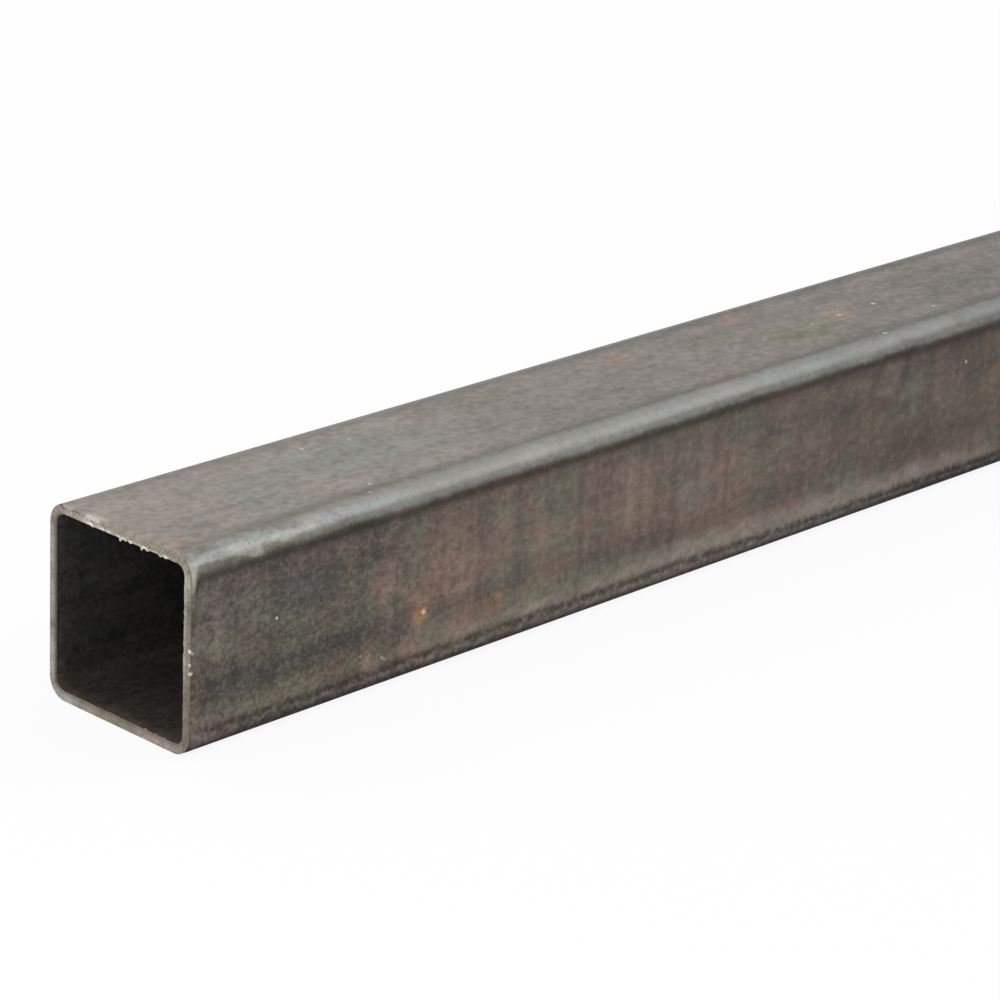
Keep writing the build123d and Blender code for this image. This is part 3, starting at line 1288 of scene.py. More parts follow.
@dataclass(frozen=True)
class SawnCut:
    """The two sawn ends: clean metal, dulled, with a torn bright lip along the inside of the top wall,
    painted glints on it, painted shadow beside the burrs, and painted shade on the near wall's outer edge.

    The fades that end in _edge run over the depth in the wall, the others over what their comment says.
    """

    tone: Colour = (0.300, 0.262, 0.212)
    dull_tone: Colour = (0.235, 0.205, 0.160)
    grime: Colour = (0.060, 0.044, 0.035)
    edge_shade_tone: Colour = (0.130, 0.112, 0.085)
    olive_tone: Colour = (0.265, 0.242, 0.180)
    pink_tone: Colour = (0.315, 0.262, 0.232)
    lip_tone: Colour = (0.78, 0.74, 0.68)
    tone_fade: Fade = Fade(0.75, 1.25)  # over the sum of the noises
    hue_fade: Fade = Fade(0.36, 0.64)  # over a noise
    hue_share: float = 0.6
    mark_fray: float = 3.0  # millimetres that clouds push the marks' outlines along the wall
    near_wall: Fade = Fade(-16.5, -18.5)  # across
    # Painted shade on the near wall's outer edge, where it rounds over towards the side
    shaded_edge: Fade = Fade(0.8, 0.0)
    shaded_share: float = 0.75
    far_wall: Fade = Fade(15.0, 18.0)  # across
    bottom_wall: Fade = Fade(-15.0, -18.0, 0.0, 0.55)  # up
    dirty_edge: Fade = Fade(1.1, 1.9)
    dirty_wander: float = 1.6
    dirty_share: float = 0.85
    torn_shift: Fade = Fade(-14.0, 9.0, -0.62, 0.0, False)  # how much thinner the lip is, across
    torn_edge: Fade = Fade(1.05, 1.40)
    torn_patch: Fade = Fade(0.38, 0.58, 0.15, 0.75)  # over a noise
    torn_stop: Fade = Fade(11.0, 9.0)  # across
    torn_level: Fade = Fade(-15.0, 6.0, 0.35, 1.0)  # across
    top_wall: Fade = Fade(15.0, 17.0)  # up
    line_edge: Fade = Fade(1.15, 1.6)
    line_level: Fade = Fade(-8.0, 2.0, 0.0, 0.22)  # up
    metal: float = 0.30
    roughness: float = 0.50
    line_pitch: float = 0.4  # millimetres between saw lines
    bump_strength: float = 0.4
    bump_depth: float = 0.03  # millimetres

    def sawn_tone(self, graph: Graph, groups: Groups, where: Where, lines: Socket) -> tuple[Socket, Socket]:
        """Mixes the sawn metal's tones and lays its marks and the burrs' painted shadow over them.

        Args:
            graph: The material's graph.
            groups: The shared node groups.
            where: Where the point lies on the tube.
            lines: The saw lines.

        Returns:
            The colour, and the fine noise in it.
        """
        place = where.place
        cloud = graph.noise(place, (3.0, 3.0, 3.0), 3.0, 0.6)
        fine = graph.noise(place, (0.5, 0.5, 0.5), 2.0, 0.6)
        share = graph.fade(graph.sway(((lines, 0.3), (cloud, 1.0), (fine, 0.6))), self.tone_fade)
        colour = graph.mix(share, self.dull_tone, self.tone)
        hue = graph.fade(graph.noise(place, (2.6, 2.6, 2.6), 1.0, 0.5), self.hue_fade)
        colour = graph.mix(self.hue_share, colour, graph.mix(hue, self.olive_tone, self.pink_tone))
        push = graph.scaled((0.0, 1.0, 1.0), graph.swing(cloud, self.mark_fray))
        colour = lay_stains_and_light(graph, groups, place, graph.vector("ADD", place, push), CUT_MARKS, colour)
        return graph.scaled(colour, graph.sway(((fine, 1.9), (cloud, 1.2)))), fine

    def darken_edges(self, graph: Graph, where: Where, edge: Socket, fine: Socket, colour: Socket) -> Socket:
        """Darkens the near wall's outer edge with a painted shade where it rounds over, and lays grime
        inside the far wall and the bottom wall.

        Args:
            graph: The material's graph.
            where: Where the point lies on the tube.
            edge: How deep in the wall the point lies, made uneven.
            fine: Fine noise.
            colour: The colour.

        Returns:
            The colour, darkened at the edges.
        """
        on_near = graph.fade(where.across, self.near_wall)
        darken_edges = graph.times(on_near, graph.fade(edge, self.shaded_edge), self.shaded_share)
        colour = graph.mix(darken_edges, colour, self.edge_shade_tone)
        far_or_bottom = graph.most(graph.fade(where.across, self.far_wall),
                                   graph.fade(where.up, self.bottom_wall))
        ragged = graph.plus(edge, graph.swing(fine, self.dirty_wander))
        dirty = graph.times(far_or_bottom, graph.fade(ragged, self.dirty_edge), self.dirty_share)
        return graph.mix(dirty, colour, self.grime)

    def lip(self, graph: Graph, groups: Groups, where: Where, edge: Socket) -> Socket:
        """Masks the torn lip inside the top wall, the fine line inside the near wall, and the bright spots,
        partly painted glints.

        Args:
            graph: The material's graph.
            groups: The shared node groups.
            where: Where the point lies on the tube.
            edge: How deep in the wall the point lies, made uneven.

        Returns:
            How bright the metal is.
        """
        across, up = where.across, where.up
        torn = graph.plus(edge, graph.fade(across, self.torn_shift))
        patchy = graph.fade(graph.noise(where.place, (1.1, 1.1, 1.1), 1.0, 0.5), self.torn_patch)
        lip = graph.times(graph.fade(torn, self.torn_edge), graph.fade(across, self.torn_stop), patchy,
                          graph.fade(across, self.torn_level), graph.fade(up, self.top_wall))
        inner_line = graph.times(graph.fade(across, self.near_wall), graph.fade(edge, self.line_edge),
                                 graph.fade(up, self.line_level))
        return graph.most(lip, inner_line, fleck_mask(graph, groups, where.place, BEADS + LIP_GLINTS))

    def material(self, groups: Groups) -> bpy.types.Material:
        """Makes the material.

        Args:
            groups: The shared node groups.

        Returns:
            The material.
        """
        made, graph = new_material("sawn_steel")
        where = Where.of(graph, groups)
        lines = graph.noise(where.place, (self.line_pitch, 14.0, self.line_pitch), 2.0, 0.6)
        colour, fine = self.sawn_tone(graph, groups, where, lines)
        edge = graph.plus(where.depth, graph.swing(fine, 1.0))
        colour = self.darken_edges(graph, where, edge, fine, colour)
        colour = graph.mix(self.lip(graph, groups, where, edge), colour, self.lip_tone)
        rough = graph.span(lines, 0.3, 0.7, self.roughness - 0.08, self.roughness + 0.1)
        graph.steel({"Base Color": colour, "Metallic": self.metal, "Roughness": rough,
                     "Normal": graph.bump(lines, self.bump_strength, self.bump_depth)})
        return made


@dataclass(frozen=True)
class ShadedBore:
    """The inside: the same strip, unrubbed, nearly black with painted shade, and lighter and browner on the
    floor and by the mouth, where painted light falls.
    """

    # Nearly black: painted shade inside the bore
    tone: Colour = (0.026, 0.026, 0.025)
    light_tone: Colour = (0.040, 0.037, 0.034)
    # Lighter and browner on the bore's floor, which faces up: painted light
    floor_tone: Colour = (0.041, 0.033, 0.026)
    mouth_light_tone: Colour = (0.086, 0.066, 0.050)
    light_patch: Fade = Fade(0.35, 0.65)  # over the clouds
    floor_height: Fade = Fade(-14.5, -17.5)  # up from the tube's axis
    floor_patch: Fade = Fade(0.30, 0.60, 0.4, 1.0)  # over the clouds
    mouth_fade: Fade = Fade(3.2, -0.5)  # along the tube
    mouth_height: Fade = Fade(-8.0, -17.5, 0.22, 1.0)  # up from the tube's axis
    mouth_wander: float = 8.0
    roughness: float = 0.6
    rough_drift: float = 0.1
    bump_strength: float = 0.5
    bump_depth: float = 0.05  # millimetres

    def material(self, groups: Groups) -> bpy.types.Material:
        """Makes the material.

        Args:
            groups: The shared node groups.

        Returns:
            The material.
        """
        made, graph = new_material("dark_bore")
        where = Where.of(graph, groups)
        grain = graph.call(groups.grain, Place=where.place).outputs
        cloud = graph.noise(where.place, (9.0, 6.0, 6.0), 3.0, 0.6)
        colour = graph.mix(graph.fade(cloud, self.light_patch), self.tone, self.light_tone)
        # Painted light on the bore's floor
        low = graph.times(graph.fade(where.up, self.floor_height), graph.fade(cloud, self.floor_patch))
        colour = graph.mix(low, colour, self.floor_tone)
        # Painted light by the mouth, where light comes in at the open end
        ragged = graph.plus(where.along, graph.swing(cloud, self.mouth_wander))
        mouth = graph.times(graph.fade(ragged, self.mouth_fade), graph.fade(where.up, self.mouth_height))
        colour = graph.mix(mouth, colour, self.mouth_light_tone)
        drawn = graph.noise(where.place, (160.0, 3.5, 3.5), 2.0, 0.6)
        layers = ((grain["Grain"], 1.6), (grain["Speckle"], 1.3), (drawn, 1.4))
        colour = graph.scaled(colour, graph.sway(layers))
        rough = graph.span(grain["Scuff"], 0.2, 0.8, self.roughness - self.rough_drift,
                           self.roughness + self.rough_drift)
        graph.steel({"Base Color": colour, "Metallic": 0.0, "Roughness": rough,
                     "Normal": graph.bump(grain["Grain"], self.bump_strength, self.bump_depth)})
        return made


@dataclass(frozen=True)
class TornBurr:
    """The crumbs that the saw left: rough, torn, bright metal."""

    tone: Colour = (0.80, 0.76, 0.70)
    dull_tone: Colour = (0.45, 0.41, 0.36)
    metal: float = 0.4
    roughness: float = 0.5

    def material(self, groups: Groups) -> bpy.types.Material:
        """Makes the material.

        Args:
            groups: The shared node groups.

        Returns:
            The material.
        """
        made, graph = new_material("torn_burr")
        grain = graph.noise(Where.of(graph, groups).place, (0.3, 0.3, 0.3), 2.0, 0.6)
        colour = graph.mix(graph.span(grain, 0.35, 0.6), self.dull_tone, self.tone)
        graph.steel({"Base Color": colour, "Metallic": self.metal, "Roughness": self.roughness})
        return made


# ---------------------------------------------------------------------------------------------------------
# The tube
# ---------------------------------------------------------------------------------------------------------


class Finish(Enum):
    """The mesh's material slots."""

    SKIN = 0
    CUT = 1
    BORE = 2
    BURR = 3


BAKE_MAP = "OFBake"  # the UV map that the materials are baked on; no material reads it
BAKE_MARGIN = 0.004  # kept free round each row of it, as a share of the map's width


class Row(Enum):
    """A row of the bake map: where it starts and stops up the map."""

    SKIN_NEAR = (0.000, 0.300)
    SKIN_FAR = (0.300, 0.600)
    BORE_NEAR = (0.600, 0.770)
    BORE_FAR = (0.770, 0.940)
    CUT_NEAR = (0.940, 0.970)
    CUT_FAR = (0.970, 1.000)

    @classmethod
    def of(cls, finish: Finish, far: bool) -> "Row":
        """Gives the row for a finish on the near or the far half."""
        return cls[f"{finish.name}_{'FAR' if far else 'NEAR'}"]

    def place(self, across: float, up: float) -> tuple[float, float]:
        """Gives a spot on the map.

        Args:
            across: How far along the row the spot lies, from 0 to 1.
            up: How far up the row it lies.

        Returns:
            The spot on the map, inside the row's margin.
        """
        low, high = self.value
        free = 2.0 * BAKE_MARGIN
        return BAKE_MARGIN + across * (1.0 - free), low + BAKE_MARGIN + up * (high - low - free)


class Rim(Enum):
    """The outer or the inner edge of a sawn end."""

    OUTER = 1
    INNER = -1


@dataclass(frozen=True)
class Burr:
    """A crumb of metal that the saw left on an edge of the near end.

    Args:
        face: The wall it hangs on.
        rim: The edge of that wall.
        start: Where it starts along the wall, in millimetres from the wall's middle.
        stop: Where it stops.
        height: How far it stands off the edge, in millimetres.
        bright: Whether it is torn bright, not just sawn.
    """

    face: Face
    rim: Rim
    start: float
    stop: float
    height: float
    bright: bool = True


BURRS = (
    Burr(Face.TOP, Rim.INNER, 7.4, 8.2, 0.14),
    Burr(Face.TOP, Rim.INNER, -0.6, 0.2, 0.60),
    Burr(Face.TOP, Rim.INNER, -1.9, -1.2, 0.20),
    Burr(Face.TOP, Rim.INNER, -3.4, -2.6, 0.25),
    Burr(Face.TOP, Rim.INNER, -6.5, -5.8, 0.55),
    Burr(Face.TOP, Rim.INNER, -8.2, -7.2, 0.30),
    Burr(Face.TOP, Rim.INNER, -17.5, -5.0, 0.20, False),
    Burr(Face.TOP, Rim.INNER, -11.6, -10.8, 0.16),
    Burr(Face.TOP, Rim.INNER, -13.2, -12.2, 0.14),
    Burr(Face.BOTTOM, Rim.INNER, -22.0, 22.0, 0.24, False),
    Burr(Face.FAR, Rim.INNER, -22.0, 22.0, 0.20, False),
    Burr(Face.BOTTOM, Rim.INNER, -8.3, -7.2, 0.45, False),
    Burr(Face.BOTTOM, Rim.INNER, -11.0, -10.2, 0.22, False),
    Burr(Face.BOTTOM, Rim.INNER, -13.6, -12.6, 0.32, False),
    Burr(Face.NEAR, Rim.INNER, -18.0, 26.0, 0.20, False),
    Burr(Face.NEAR, Rim.OUTER, 1.2, 2.2, 0.24, False),
    Burr(Face.NEAR, Rim.OUTER, -1.4, -0.7, 0.18, False),
    Burr(Face.NEAR, Rim.OUTER, -3.2, -2.2, 0.24, False),
)


def end_mesh(bm: bmesh.types.BMesh, name: str) -> bpy.types.Object:
    """Makes a bmesh an object at the origin.

    Args:
        bm: The bmesh, which is freed.
        name: The object's name and its mesh's.

    Returns:
        The object.
    """
    mesh = bpy.data.meshes.new(name)
    bm.to_mesh(mesh)
    bm.free()
    made = bpy.data.objects.new(name, mesh)
    bpy.context.scene.collection.objects.link(made)
    return made


@dataclass
class SquareTube:
    """The tube's dressed mesh, on the same sizes as the CAD solid it replaces."""

    low: Vector
    high: Vector
    wall: float = 2.0 * MM
    bend_radius: float = 2.4 * MM
    arc_steps: int = 12
    flat_steps: int = 16
    ring_pitch: float = 5.0 * MM
    edge_break: float = 0.15 * MM
    end_rings: tuple[float, ...] = (0.4 * MM, 0.7 * MM, 1.0 * MM, 1.4 * MM, 2.2 * MM)
    flare_length: float = 1.4 * MM
    flare_depth: float = 0.5 * MM
    flare_reach: float = 13.0 * MM
    near_wear: float = 0.8  # how much of the flare the near wall's edge has everywhere
    burr_cuts: int = 7
    burr_zone: float = 0.45 * MM
    long_burr: float = 6.0  # a burr longer than this, in millimetres, is uneven
    burr_grain: float = 1.1 * MM
    burr_lean: float = 0.25  # how far a burr stands out of the end for each unit of its height
    strip_fill: float = 0.82  # how much of its row's height a sawn end's strip fills on the bake map

    @property
    def side(self) -> float:
        """The outside width of the square."""
        return self.high.y - self.low.y

    @property
    def length(self) -> float:
        """The length between the sawn ends."""
        return self.high.x - self.low.x

    @property
    def axis(self) -> Vector:
        """The middle of the near end."""
        return Vector((self.low.x, 0.0, (self.low.z + self.high.z) / 2.0))

    @property
    def outer_radius(self) -> float:
        """The outside radius of the corners."""
        return self.bend_radius + self.wall

    @property
    def half_flat(self) -> float:
        """Half of the flat width between two corners."""
        return self.side / 2.0 - self.outer_radius

    def section(self, bm: bmesh.types.BMesh) -> None:
        """Makes the wall's section as a ring of faces, at the near end.

        Args:
            bm: The bmesh.
        """
        bmesh.ops.create_circle(bm, cap_ends=True, segments=4, radius=self.side / math.sqrt(2.0))
        bmesh.ops.rotate(bm, verts=bm.verts, matrix=Matrix.Rotation(math.pi / 4.0, 3, "Z"))
        bmesh.ops.bevel(bm, geom=bm.verts[:], affect="VERTICES", offset=self.outer_radius,
                        segments=self.arc_steps, profile=0.5, material=-1)
        flats = [edge for edge in bm.edges if edge.calc_length() > self.side / 2.0]
        bmesh.ops.subdivide_edges(bm, edges=flats, cuts=self.flat_steps - 1)
        middle = bm.faces[:]
        bmesh.ops.inset_individual(bm, faces=middle, thickness=self.wall, use_even_offset=True)
        bmesh.ops.delete(bm, geom=middle, context="FACES_ONLY")
        bmesh.ops.rotate(bm, verts=bm.verts, matrix=Matrix.Rotation(math.pi / 2.0, 3, "Y"))
        bmesh.ops.translate(bm, verts=bm.verts, vec=self.axis)

    def stretch(self, bm: bmesh.types.BMesh) -> None:
        """Draws the section out to the full length, with even rings along it.

        Args:
            bm: The bmesh.
        """
        drawn = bmesh.ops.extrude_face_region(bm, geom=bm.faces[:])["geom"]
        moved = [item for item in drawn if isinstance(item, bmesh.types.BMVert)]
        bmesh.ops.translate(bm, verts=moved, vec=(self.length, 0.0, 0.0))
        bmesh.ops.recalc_face_normals(bm, faces=bm.faces)
        long_edges = [edge for edge in bm.edges if edge.calc_length() > self.length / 2.0]
        bmesh.ops.subdivide_edges(bm, edges=long_edges, cuts=round(self.length / self.ring_pitch) - 1,
                                  use_grid_fill=True)

    def break_edges(self, bm: bmesh.types.BMesh) -> None:
        """Takes the sharpness off the four sawn rims and adds close rings beside them.

        Args:
            bm: The bmesh.
        """
        rims = [edge for edge in bm.edges if edge.calc_face_angle(0.0) > math.radians(60.0)]
        bmesh.ops.bevel(bm, geom=rims, affect="EDGES", offset=self.edge_break, segments=2, profile=0.5,
                        material=-1)
        for ring in self.end_rings:
            for place in (self.low.x + ring, self.high.x - ring):
                bmesh.ops.bisect_plane(bm, geom=bm.verts[:] + bm.edges[:] + bm.faces[:], dist=1e-7,
                                       plane_co=(place, 0.0, 0.0), plane_no=(1.0, 0.0, 0.0))

    def name_faces(self, bm: bmesh.types.BMesh) -> None:
        """Gives each face its finish, by where it lies in the wall.

        Args:
            bm: The bmesh.
        """
        for face in bm.faces:
            face.smooth = True
            centre = face.calc_center_median() - self.axis
            at_end = min(centre.x, self.length - centre.x) < self.edge_break
            outward = face.normal.dot(Vector((0.0, centre.y, centre.z))) > 0.0
            finish = Finish.CUT if at_end else Finish.SKIN if outward else Finish.BORE
            face.material_index = finish.value

    def walk(self, place: Vector) -> float:
        """Gives how far round the wall a place lies, as a share of the whole way.

        Args:
            place: The place, from the middle of the near end.

        Returns:
            0 to 1, counted along the middle of the wall.
        """
        half_flat, right_angle = self.half_flat, math.pi / 2.0
        radius = self.bend_radius + self.wall / 2.0
        quarter_way = 2.0 * half_flat + radius * right_angle
        quarter = math.floor(math.atan2(place.z, place.y) / right_angle) % 4
        turned = Matrix.Rotation(-quarter * right_angle, 3, "X") @ place
        over, up = turned.z - half_flat, turned.y - half_flat
        if over <= 0.0:
            way = turned.z
        elif up <= 0.0:
            way = quarter_way - turned.y
        else:
            way = half_flat + radius * math.atan2(over, up)
        return (quarter + way / quarter_way) / 4.0

    def depth(self, place: Vector) -> float:
        """Gives how deep in the wall a place lies, from the outside."""
        over = Vector([max(0.0, abs(way) - self.half_flat) for way in (place.y, place.z)])
        return self.outer_radius - over.length

    def lay_bake_map(self, bm: bmesh.types.BMesh) -> None:
        """Lays the faces out: two rows for the skin, two for the bore and a strip for each sawn end.

        Args:
            bm: The bmesh.
        """
        layer = bm.loops.layers.uv.new(BAKE_MAP)
        for face in bm.faces:
            centre = face.calc_center_median() - self.axis
            finish = Finish(face.material_index)
            far = centre.x > self.length / 2.0
            middle = self.walk(centre)
            for loop in face.loops:
                place = loop.vert.co - self.axis
                share = self.walk(place)
                share += round(middle - share)
                if finish is Finish.CUT:
                    spot = (share, self.up_strip(place, centre))
                else:
                    spot = (2.0 * place.x / self.length - far, share)
                loop[layer].uv = Row.of(finish, far).place(*spot)

    def up_strip(self, place: Vector, centre: Vector) -> float:
        """Gives how far up a sawn end's strip a place lies, with the wall's broken edges unfolded.

        Args:
            place: The place, from the middle of the near end.
            centre: The middle of its face.

        Returns:
            A share of the strip's row.
        """
        from_end = min(place.x, self.length - place.x)
        out = -1.0 if self.depth(centre) < self.wall / 2.0 else 1.0
        across = (self.depth(place) + out * from_end) / self.wall
        return 0.5 + (across - 0.5) * self.strip_fill

    def flare(self, bm: bmesh.types.BMesh) -> None:
        """Rounds the outer edge of the near end over by its top near corner, as it was dressed there.

        Args:
            bm: The bmesh.
        """
        corner = Vector((0.0, -self.side / 2.0, self.side / 2.0))
        skin = [face for face in bm.faces if face.material_index == Finish.SKIN.value]
        for vert in {vert for face in skin for vert in face.verts}:
            place = vert.co - self.axis
            along = place.x / self.flare_length
            if along >= 1.0:
                continue
            flat = Vector((0.0, place.y, place.z))
            near = max(0.0, 1.0 - (flat - corner).length / self.flare_reach)
            eased = near * near * (3.0 - 2.0 * near)
            lean = max(0.0, -flat.normalized().y)
            share = max(eased, self.near_wear * min(1.0, lean * lean * 2.0))
            inward = self.flare_depth * share * (1.0 - math.sqrt(1.0 - (1.0 - along) ** 2))
            vert.co -= flat.normalized() * inward

    def along_wall(self, face: Face) -> Vector:
        """Gives the direction that runs along a wall's edge: Y on the top and bottom, Z on the sides."""
        return Vector((0.0, abs(face.value.z), abs(face.value.y)))

    def rim_reach(self, rim: Rim) -> float:
        """Gives how far a sawn end's outer or inner edge lies from the tube's axis."""
        return self.side / 2.0 - (self.wall if rim is Rim.INNER else 0.0)

    def refine_rim(self, bm: bmesh.types.BMesh, face: Face, rim: Rim) -> None:
        """Cuts the near end's edge along one wall finely, so that burrs can be raised there.

        Args:
            bm: The bmesh.
            face: The wall.
            rim: Its outer or its inner edge.
        """
        reach, run = self.rim_reach(rim), self.along_wall(face)
        chosen = []
        for edge in bm.edges:
            ends = [vert.co - self.axis for vert in edge.verts]
            along = abs((ends[0] - ends[1]).normalized().dot(run)) > NEARLY_ALONG
            close = all(end.x < self.burr_zone and abs(end.dot(face.value) - reach) < 2.0 * self.edge_break
                        and abs(end.dot(run)) < self.half_flat + TINY for end in ends)
            if along and close:
                chosen.append(edge)
        bmesh.ops.subdivide_edges(bm, edges=chosen, cuts=self.burr_cuts, use_grid_fill=True)

    def raise_burrs(self, bm: bmesh.types.BMesh) -> None:
        """Raises the crumbs and a fine uneven lip along the near end's edges.

        Args:
            bm: The bmesh.
        """
        walls = sorted({(burr.face.name, burr.rim.name) for burr in BURRS})
        for face_name, rim_name in walls:
            self.refine_rim(bm, Face[face_name], Rim[rim_name])
        for face in bm.faces:
            place = face.calc_center_median() - self.axis
            bright = any(burr.bright and self.cover(place, burr) > 0.0 for burr in BURRS)
            if place.x < self.burr_zone and bright:
                face.material_index = Finish.BURR.value
        for vert in bm.verts:
            place = vert.co - self.axis
            if place.x > self.burr_zone * 0.8:
                continue
            for burr in BURRS:
                height = self.rise(place, burr)
                vert.co += burr.face.value * burr.rim.value * height
                vert.co.x -= self.burr_lean * height

    def rise(self, place: Vector, burr: Burr) -> float:
        """Gives how far a burr stands off the edge at a place; a long one is uneven.

        Args:
            place: The place, from the middle of the near end.
            burr: The burr.

        Returns:
            The height in metres.
        """
        height = burr.height * MM * math.sqrt(self.cover(place, burr))
        if burr.stop - burr.start > self.long_burr:
            height *= max(0.0, 0.5 + noise.noise(place / self.burr_grain))
        return height

    def cover(self, place: Vector, burr: Burr) -> float:
        """Gives how much a burr covers a place on the near end.

        Args:
            place: The place, from the middle of the near end.
            burr: The burr.

        Returns:
            1 at the burr's middle, and 0 beyond its ends.
        """
        if abs(place.dot(burr.face.value) - self.rim_reach(burr.rim)) > 1.5 * self.edge_break:
            return 0.0
        run = place.dot(self.along_wall(burr.face)) / MM
        middle, half = (burr.start + burr.stop) / 2.0, (burr.stop - burr.start) / 2.0
        return max(0.0, 1.0 - abs(run - middle) / half)

    def build(self) -> bpy.types.Object:
        """Builds the mesh.

        Returns:
            The tube's object, at the origin, its faces numbered by finish.
        """
        bm = bmesh.new()
        self.section(bm)
        self.stretch(bm)
        self.break_edges(bm)
        self.name_faces(bm)
        self.lay_bake_map(bm)
        self.flare(bm)
        self.raise_burrs(bm)
        made = end_mesh(bm, "dressed_tube")
        weighted = made.modifiers.new("even_shading", "WEIGHTED_NORMAL")
        weighted.keep_sharp = True
        return made

    def dress(self, made: bpy.types.Object) -> None:
        """Puts the four finishes on the mesh's slots.

        Args:
            made: The tube's object.
        """
        place = tube_place_group(self.axis.x, self.axis.z, self.side / 2.0 / MM, self.outer_radius / MM)
        groups = Groups(place, spot_group(), grain_group())
        finishes = {Finish.SKIN: RolledSkin(), Finish.CUT: SawnCut(), Finish.BORE: ShadedBore(),
                    Finish.BURR: TornBurr()}
        for finish in Finish:
            made.data.materials.append(finishes[finish].material(groups))


# ---------------------------------------------------------------------------------------------------------
# Floor, light and camera
# ---------------------------------------------------------------------------------------------------------


def seen_rays(graph: Graph) -> Socket:
    """Gives 1 for rays from the camera and for reflected and refracted rays, and 0 for light."""
    rays = graph.node("ShaderNodeLightPath").outputs
    return graph.most(rays["Is Camera Ray"], rays["Is Glossy Ray"], rays["Is Transmission Ray"])


@dataclass(frozen=True)
class Softbox:
    """A square lamp that faces a point on the tube.

    Args:
        name: The lamp's name.
        aim: The point it faces.
        direction: Where it hangs, seen from that point.
        distance: How far away it hangs.
        size: Its width and height.
        radiance: How bright its face is, where 1 is white.
    """

    name: str
    aim: Place
    direction: Place
    distance: float
    size: tuple[float, float]
    radiance: float

    def hang(self) -> None:
        """Adds the lamp."""
        lamp = bpy.data.lights.new(self.name, "AREA")
        lamp.shape = "RECTANGLE"
        lamp.size, lamp.size_y = self.size
        lamp.energy = self.radiance * math.pi * self.size[0] * self.size[1]
        made = bpy.data.objects.new(self.name, lamp)
        bpy.context.scene.collection.objects.link(made)
        towards = Vector(self.direction).normalized()
        made.location = Vector(self.aim) + towards * self.distance
        made.rotation_euler = towards.to_track_quat("Z", "Y").to_euler()
        made.visible_camera = False


@dataclass(frozen=True)
class Studio:
    """A pale floor in a white room, with soft lamps."""

    floor_size: float = 40.0
    floor_tone: float = 0.90
    floor_white: float = 0.91  # how much of the floor's seen tone is plain white, over its own shadow
    mirrored_white: float = 0.15  # the same, for the floor as the steel mirrors it
    room_light: float = 0.68
    skirting_radius: float = 2.2
    skirting_height: float = 0.90
    skirting_tone: float = 0.03
    skirting_dark_height: float = 0.20

    def room(self) -> None:
        """Makes the world white where it is seen and dimmer as a light."""
        world = bpy.data.worlds.new("white_room")
        world.use_nodes = True
        bpy.context.scene.world = world
        graph = Graph(world.node_tree)
        back = graph.node("ShaderNodeBackground")
        graph.feed(back.inputs["Color"], WHITE)
        strength = graph.span(seen_rays(graph), 0.0, 1.0, self.room_light, 1.0, smooth=False)
        graph.feed(back.inputs["Strength"], strength)
        graph.surface(back)

    def floor(self, height: float) -> None:
        """Lays the floor under the tube.

        Args:
            height: The height that the tube stands on.
        """
        bm = bmesh.new()
        bmesh.ops.create_grid(bm, x_segments=1, y_segments=1, size=self.floor_size / 2.0)
        bmesh.ops.translate(bm, verts=bm.verts, vec=(0.0, 0.0, height))
        made = end_mesh(bm, "floor")
        finish, graph = new_material("pale_floor")
        matt = graph.node("ShaderNodeBsdfDiffuse")
        graph.feed(matt.inputs["Color"], (self.floor_tone,) * 3)
        white = graph.node("ShaderNodeEmission")
        graph.feed(white.inputs["Color"], WHITE)
        rays = graph.node("ShaderNodeLightPath").outputs
        seen = graph.most(rays["Is Camera Ray"], rays["Is Transmission Ray"])
        share = graph.most(graph.times(seen, self.floor_white),
                           graph.times(rays["Is Glossy Ray"], self.mirrored_white))
        blend = graph.node("ShaderNodeMixShader")
        for socket, value in zip(blend.inputs, (share, matt.outputs[0], white.outputs[0])):
            graph.feed(socket, value)
        graph.surface(blend)
        made.data.materials.append(finish)

    def skirting(self, height: float) -> None:
        """Stands a low dark ring round the floor, which only shows as the dark horizon in reflections.

        Args:
            height: The height that the tube stands on.
        """
        bm = bmesh.new()
        ring = bmesh.ops.create_circle(bm, segments=48, radius=self.skirting_radius)["verts"]
        bmesh.ops.translate(bm, verts=ring, vec=(0.0, 0.0, height))
        raised = bmesh.ops.extrude_edge_only(bm, edges=bm.edges[:])["geom"]
        verts = [item for item in raised if isinstance(item, bmesh.types.BMVert)]
        bmesh.ops.translate(bm, verts=verts, vec=(0.0, 0.0, self.skirting_height))
        made = end_mesh(bm, "skirting")
        finish, graph = new_material("dark_skirting")
        split = graph.node("ShaderNodeSeparateXYZ")
        graph.feed(split.inputs[0], graph.node("ShaderNodeTexCoord").outputs["Object"])
        dark = graph.node("ShaderNodeEmission")
        graph.feed(dark.inputs["Strength"], graph.span(split.outputs[2], self.skirting_dark_height,
                                                       self.skirting_height, self.skirting_tone, 1.0))
        graph.surface(dark)
        made.data.materials.append(finish)
        made.visible_camera = False
        made.visible_diffuse = False
        made.visible_transmission = False
        made.visible_shadow = False


SOFTBOXES = (
    Softbox("key_softbox", (-0.40, 0.0, 0.04), (0.69, -0.32, 0.65), 3.0, (1.9, 1.4), 2.8),
    Softbox("far_softbox", (-0.20, 0.0, 0.04), (-0.20, 0.60, 0.76), 2.6, (1.6, 1.2), 1.6),
    Softbox("end_softbox", (-0.50, 0.0, 0.02), (-0.80, -0.35, 0.50), 0.75, (0.5, 0.5), 2.2),
)


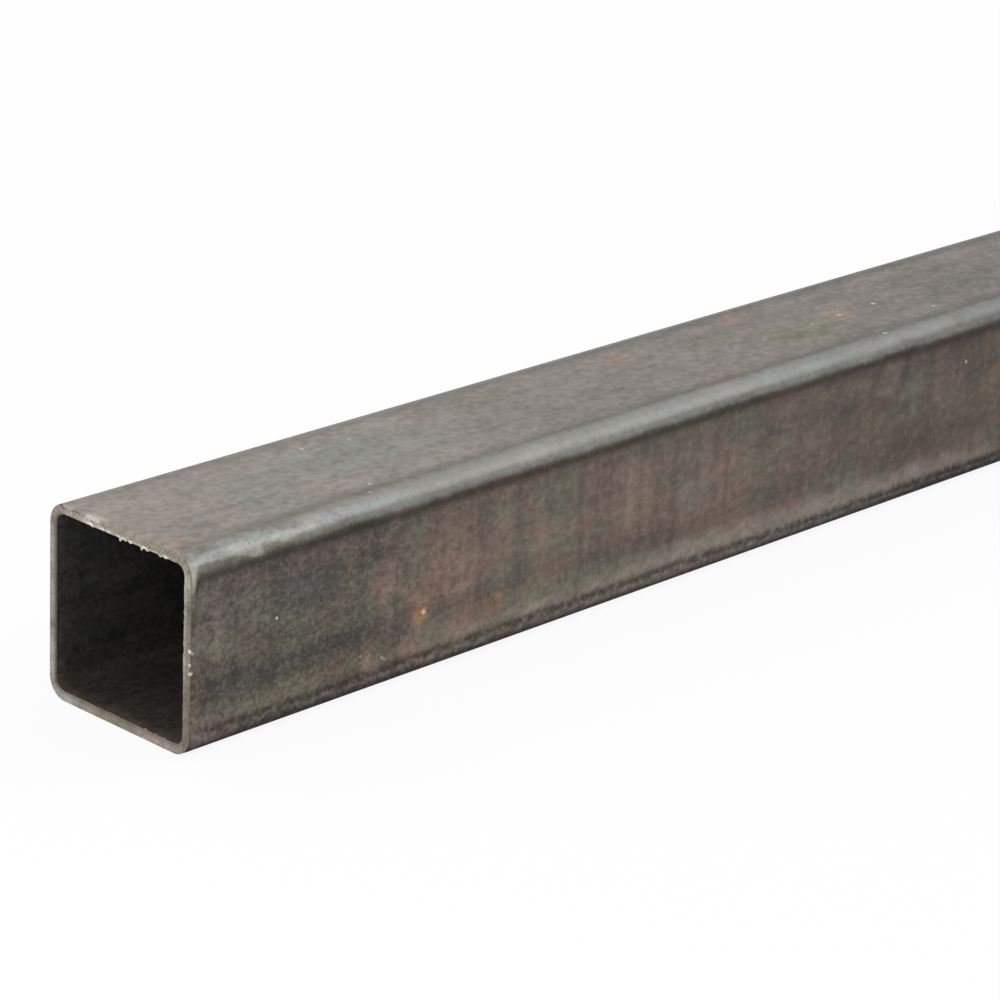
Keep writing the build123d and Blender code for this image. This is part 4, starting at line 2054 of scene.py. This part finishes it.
@dataclass(frozen=True)
class StudioCamera:
    """The camera: where it stands round the point it looks at, and its lens.

    Args:
        aim: The point that it looks at, from the middle of the near end.
        azimuth: Degrees round Z, from looking along +Y.
        elevation: Degrees above the floor.
        roll: Degrees that the picture is turned.
        distance: Metres from the point.
        focal_length: Millimetres, for a sensor of sensor_width.
    """

    aim: Place = (0.10396, 0.00209, 0.0)
    azimuth: float = -46.8174
    elevation: float = 20.5516
    roll: float = 2.6298
    distance: float = 0.7907
    focal_length: float = 139.232
    sensor_width: float = 36.0

    def stand(self, near_end: Vector) -> None:
        """Adds the camera and makes it the scene's own.

        Args:
            near_end: The middle of the tube's near end.
        """
        round_z, up = math.radians(self.azimuth), math.radians(self.elevation)
        back = Vector((math.sin(round_z) * math.cos(up), -math.cos(round_z) * math.cos(up), math.sin(up)))
        level = Matrix.Rotation(round_z, 4, "Z") @ Matrix.Rotation(math.pi / 2.0 - up, 4, "X")
        turn = level @ Matrix.Rotation(math.radians(self.roll), 4, "Z")
        lens = bpy.data.cameras.new("studio_camera")
        lens.sensor_fit = "HORIZONTAL"
        lens.sensor_width = self.sensor_width
        lens.lens = self.focal_length
        lens.clip_start = 0.01
        lens.dof.use_dof = False
        made = bpy.data.objects.new("studio_camera", lens)
        bpy.context.scene.collection.objects.link(made)
        place = near_end + Vector(self.aim) + back * self.distance
        made.matrix_world = Matrix.Translation(place) @ turn
        bpy.context.scene.camera = made


# ---------------------------------------------------------------------------------------------------------
# The scene
# ---------------------------------------------------------------------------------------------------------


def main() -> None:
    """Builds the tube, the studio and the camera."""
    logging.basicConfig(level=logging.INFO, format="%(name)s: %(message)s")
    bpy.context.scene.view_settings.view_transform = "Standard"
    low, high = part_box(NODE)
    tube = SquareTube(low, high)
    StudioCamera().stand(tube.axis)
    made = tube.build()
    tube.dress(made)
    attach(made, BODY)
    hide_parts(NODE)
    LOG.info("%s: %d faces", made.name, len(made.data.polygons))
    studio = Studio()
    studio.room()
    studio.floor(low.z)
    studio.skirting(low.z)
    for softbox in SOFTBOXES:
        softbox.hang()


if __name__ == "__main__":
    main()
